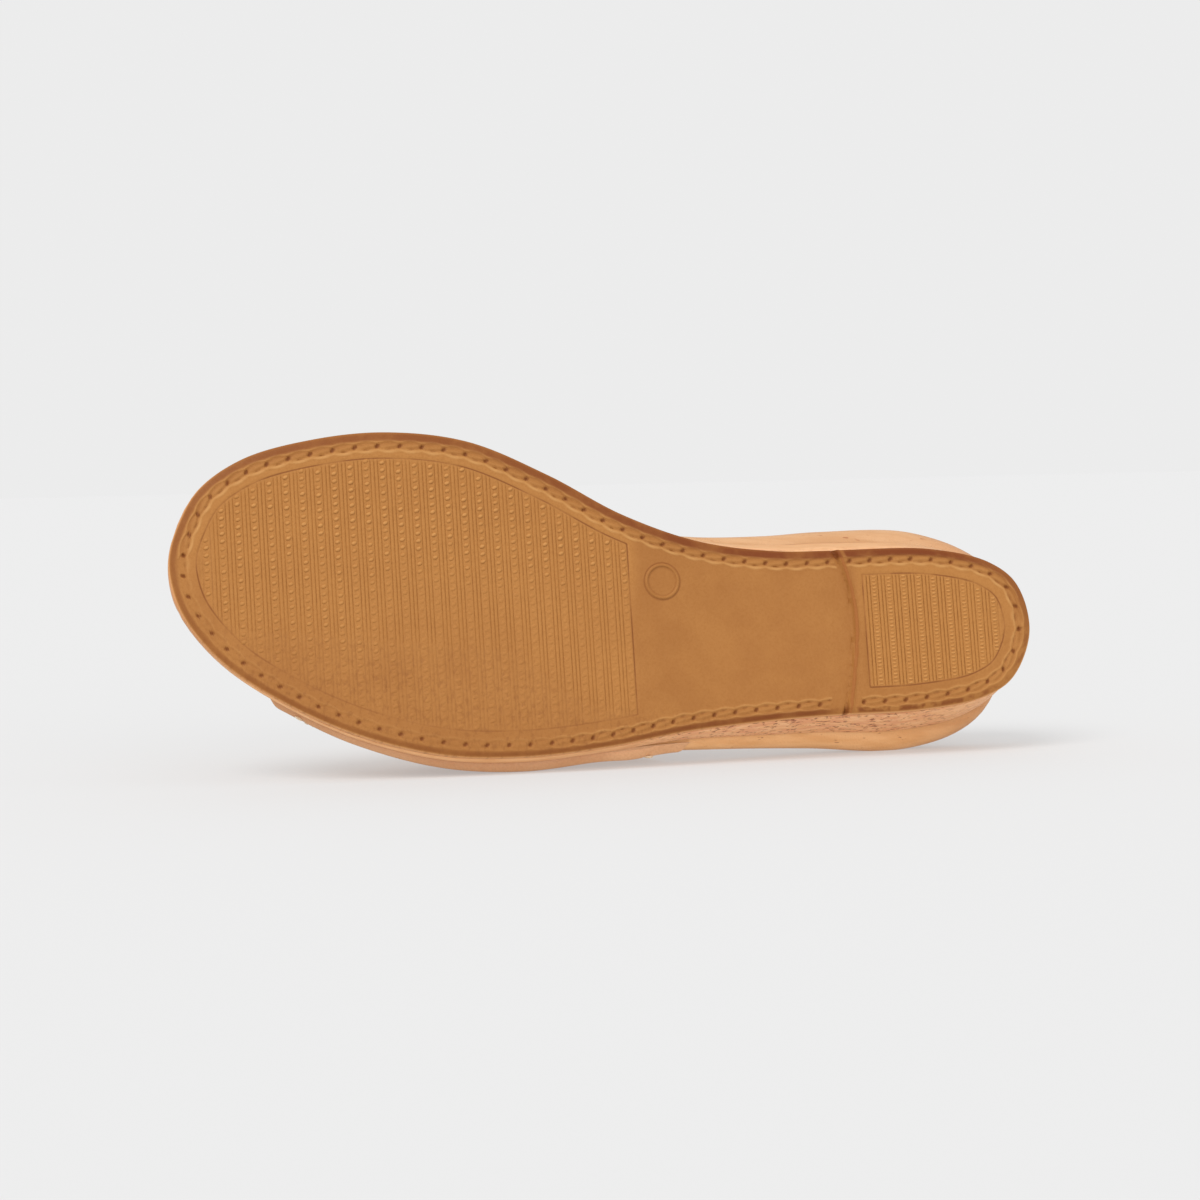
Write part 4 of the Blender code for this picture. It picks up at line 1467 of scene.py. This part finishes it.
def plain_cork(finish, streaks):
    """Smooth tan of the wedge where it has few flecks, with painted light and shade: lighter outside,
    darker inside, at the toe and at the inner back, and a dashed painted shadow along the top.
    """
    # Painted light and shade: lighter on the outer side, darker on the inner side
    outer = finish.mix(streaks, (229, 170, 115), (238, 183, 129))
    inner = finish.mix(streaks, (203, 150, 100), (212, 162, 113))
    finish.colour = finish.mix(finish.medial(), outer, inner)
    # Painted shade towards the toe
    finish.tint(finish.over("X", CORK_TOE_X, 0.6), 176, 118, 76)
    # Painted shade towards the back, on the inner side
    finish.tint(finish.times(finish.over("X", CORK_BACK_X, 0.5), finish.medial()), 184, 128, 82)
    # A dashed painted shadow along the wedge's top, where the footbed sits on it, at the heel
    layer = finish.line(finish.read("up"), 0.96, 0.14)
    joint_shade = finish.ramp(finish.noise((0.1, 0.0, 1.2), 2.0, 0.5), 0.42, 0.58, 0.1, 0.75)
    joint_shade = finish.times(finish.times(layer, joint_shade), finish.over("X", CORK_JOINT_SHADE_X))
    finish.tint(joint_shade, 160, 96, 56)


def cork_wrap():
    """Cork-grained wrap of the wedge: pinkish tan with short dark flecks along the shoe."""
    finish = Finish("cork_wrap", 0.55, specular=0.3)
    streaks = finish.ramp(finish.noise((0.12, 0.6, 0.9), 3.0, 0.6), 0.35, 0.65)
    plain_cork(finish, streaks)
    flecked = finish.read("flecked")
    cork = finish.mix(streaks, (233, 173, 119), (243, 189, 138))
    finish.colour = finish.mix(flecked, finish.colour, cork)
    blush = finish.ramp(finish.noise((0.16, 0.5, 0.6), 2.0, 0.5), 0.45, 0.62, 0.0, 0.55)
    finish.tint(finish.times(flecked, blush), 220, 146, 104)
    fleck = finish.ramp(finish.noise((0.5, 1.0, 1.15), 3.0, 0.6), 0.55, 0.63, 0.0, 0.75)
    dashes = finish.times(flecked, fleck)
    finish.tint(dashes, 134, 60, 24)
    glint = finish.ramp(finish.noise((0.5, 1.4, 1.7), 2.0, 0.5), 0.6, 0.7, 0.0, 0.45)
    finish.tint(finish.times(flecked, glint), 240, 194, 152)
    return finish.done(finish.times(dashes, -1.0), 0.06)


def wrap_leather():
    """Smooth pale leather drawn round the footbed's edge."""
    finish = Finish("wrap_leather", 0.5)
    streak = finish.noise((0.05, 0.3, 0.4), 3.0, 0.55)
    streaks = finish.ramp(streak, 0.35, 0.65)
    # Painted light and shade: lighter on the outer side, darker on the inner side
    outer = finish.mix(streaks, (221, 163, 104), (233, 179, 122))
    inner = finish.mix(streaks, (190, 142, 97), (200, 155, 112))
    finish.colour = finish.mix(finish.medial(), outer, inner)
    # Painted shade: darker towards the top of the footbed's side
    finish.tint(finish.ramp(finish.read("up"), 0.1, 0.7, 0.0, 0.4), 186, 124, 72)
    # Painted shade towards the heel end
    finish.tint(finish.over("X", WRAP_BACK_X, 0.55), 178, 116, 70)
    scuff = finish.ramp(finish.noise((0.25, 1.1, 1.6), 2.0, 0.5), 0.68, 0.75, 0.0, 0.75)
    finish.tint(scuff, 150, 86, 46)
    return finish.done(finish.cells(1500.0), 0.08, finish.ramp(streak, 0.3, 0.7, 0.44, 0.56))


def sock_leather():
    """Plain sock leather with open pores and a soft polish."""
    finish = Finish("sock_leather", 0.5)
    cloud = finish.noise(40.0, 4.0, 0.6)
    finish.colour = finish.mix(finish.ramp(cloud, 0.35, 0.65), (200, 146, 100), (213, 162, 116))
    pores = finish.cells(1100.0)
    finish.tint(finish.ramp(pores, 0.28, 0.05, 0.0, 0.3), 166, 112, 70)
    return finish.done(pores, 0.12, finish.ramp(cloud, 0.3, 0.7, 0.46, 0.6))


def band_leather():
    """Full-grain leather of the band: pebbled, slightly cloudy, darker in its pores."""
    finish = Finish("band_leather", 0.48)
    cloud = finish.noise(30.0, 4.0, 0.6)
    finish.colour = finish.mix(finish.ramp(cloud, 0.35, 0.66), (211, 156, 109), (225, 173, 126))
    # Painted shade towards the band's base, over the forefoot
    painted_base_shade = finish.times(finish.over("Z", BAND_BASE_SHADE_Z, 0.4), finish.over("X", BAND_BASE_SHADE_X))
    finish.tint(painted_base_shade, 180, 130, 90)
    pebble = finish.cells(1300.0)
    fine = finish.noise(1800.0, 3.0, 0.6)
    finish.tint(finish.ramp(pebble, 0.45, 0.8, 0.0, 0.18), 184, 122, 77)
    height = finish.math("ADD", finish.times(pebble, -0.7), finish.times(fine, 0.3))
    return finish.done(height, 0.15, finish.ramp(fine, 0.3, 0.7, 0.42, 0.58))


def band_lining():
    """Pale lining leather with a brushed nap."""
    finish = Finish("band_lining", 0.75)
    finish.shader.inputs["Sheen Weight"].default_value = 0.15
    nap = finish.noise(900.0, 4.0, 0.7)
    cloud = finish.noise(60.0, 3.0, 0.6)
    finish.colour = finish.mix(finish.ramp(cloud, 0.35, 0.65), (196, 148, 106), (208, 162, 120))
    finish.tint(finish.ramp(nap, 0.4, 0.7, 0.0, 0.3), 222, 180, 140)
    return finish.done(nap, 0.08)


def waxed_thread():
    """Pale waxed thread with a twist."""
    finish = Finish("waxed_thread", 0.6)
    twist = finish.noise(2200.0, 2.0, 0.6)
    finish.colour = finish.mix(finish.ramp(twist, 0.35, 0.65), (214, 190, 158), (238, 219, 190))
    return finish.done(twist, 0.1)


# Stage

FLOOR_HALF = 40.0
BACKGROUND = 0.84
FLOOR_GLOW = 0.35

# The two soft lights: where each comes from, its strength and its spread
SoftLight = namedtuple("SoftLight", "name start strength spread_deg")
SOFT_LIGHTS = [
    SoftLight("key_light", Vector((-0.5, -0.55, 0.8)), 1.5, 30.0),
    SoftLight("low_fill_light", Vector((0.1, -1.0, 0.1)), 1.4, 60.0),
]


def make_floor():
    """A pale floor that glows a little, and is as bright as the room behind it."""
    bm = bmesh.new()
    bmesh.ops.create_grid(bm, x_segments=1, y_segments=1, size=FLOOR_HALF)
    mesh = bpy.data.meshes.new("floor")
    bm.to_mesh(mesh)
    bm.free()
    finish = Finish("pale_floor", 0.9, specular=0.0)
    lit = BACKGROUND + sum(l.strength * l.start.normalized().z for l in SOFT_LIGHTS) / math.pi
    grey = (BACKGROUND - FLOOR_GLOW) / lit
    finish.shader.inputs["Base Color"].default_value = (grey, grey, grey, 1.0)
    finish.shader.inputs["Emission Color"].default_value = (1.0, 1.0, 1.0, 1.0)
    finish.shader.inputs["Emission Strength"].default_value = FLOOR_GLOW
    mesh.materials.append(finish.material)
    floor = bpy.data.objects.new("floor", mesh)
    bpy.context.scene.collection.objects.link(floor)


def make_light():
    """A pale room all round, one broad light from above and a low one from the front."""
    scene = bpy.context.scene
    scene.view_settings.view_transform = "Standard"
    world = bpy.data.worlds.new("pale_room")
    world.use_nodes = True
    room = world.node_tree.nodes["Background"]
    room.inputs["Color"].default_value = (BACKGROUND, BACKGROUND, BACKGROUND, 1.0)
    scene.world = world
    for soft in SOFT_LIGHTS:
        lamp = bpy.data.lights.new(soft.name, "SUN")
        lamp.energy = soft.strength
        lamp.angle = math.radians(soft.spread_deg)
        light = bpy.data.objects.new(soft.name, lamp)
        light.rotation_euler = soft.start.to_track_quat("Z", "Y").to_euler()
        scene.collection.objects.link(light)


def make_camera():
    """The photograph's camera: it looks at the sole from the ground side."""
    to_toe = math.tan(math.radians(TOWARDS_TOE_DEG))
    to_lateral = math.tan(math.radians(TOWARDS_LATERAL_DEG))
    towards = Vector((to_toe, -to_lateral, -1.0)).normalized()
    forward = -towards
    level = Vector((-1.0, 0.0, 0.0))
    level = (level - forward * level.dot(forward)).normalized()
    below = forward.cross(level)
    roll = math.radians(CAMERA_ROLL_DEG)
    right = level * math.cos(roll) + below * math.sin(roll)
    up = -forward.cross(right)
    turn = SHOE.to_3x3().normalized()
    axes = [turn @ axis for axis in (right, up, towards)]
    spot = SHOE @ (LOOKED_AT + towards * CAMERA_DISTANCE)
    data = bpy.data.cameras.new("photo_camera")
    data.sensor_width = SENSOR
    data.lens = PHOTO_FOCAL_PIXELS / PHOTO_SIDE * SENSOR
    data.clip_start = CLIP_START
    camera = bpy.data.objects.new("photo_camera", data)
    camera.matrix_world = Matrix.Translation(spot) @ Matrix(axes).transposed().to_4x4()
    bpy.context.scene.collection.objects.link(camera)
    bpy.context.scene.camera = camera


make_camera()
make_light()
make_floor()
make_outsole()
make_tread_beads()
make_waist_ring()
make_wedge()
make_footbed()
make_insole()
make_upper()
make_stitches()

bpy.context.view_layer.update()
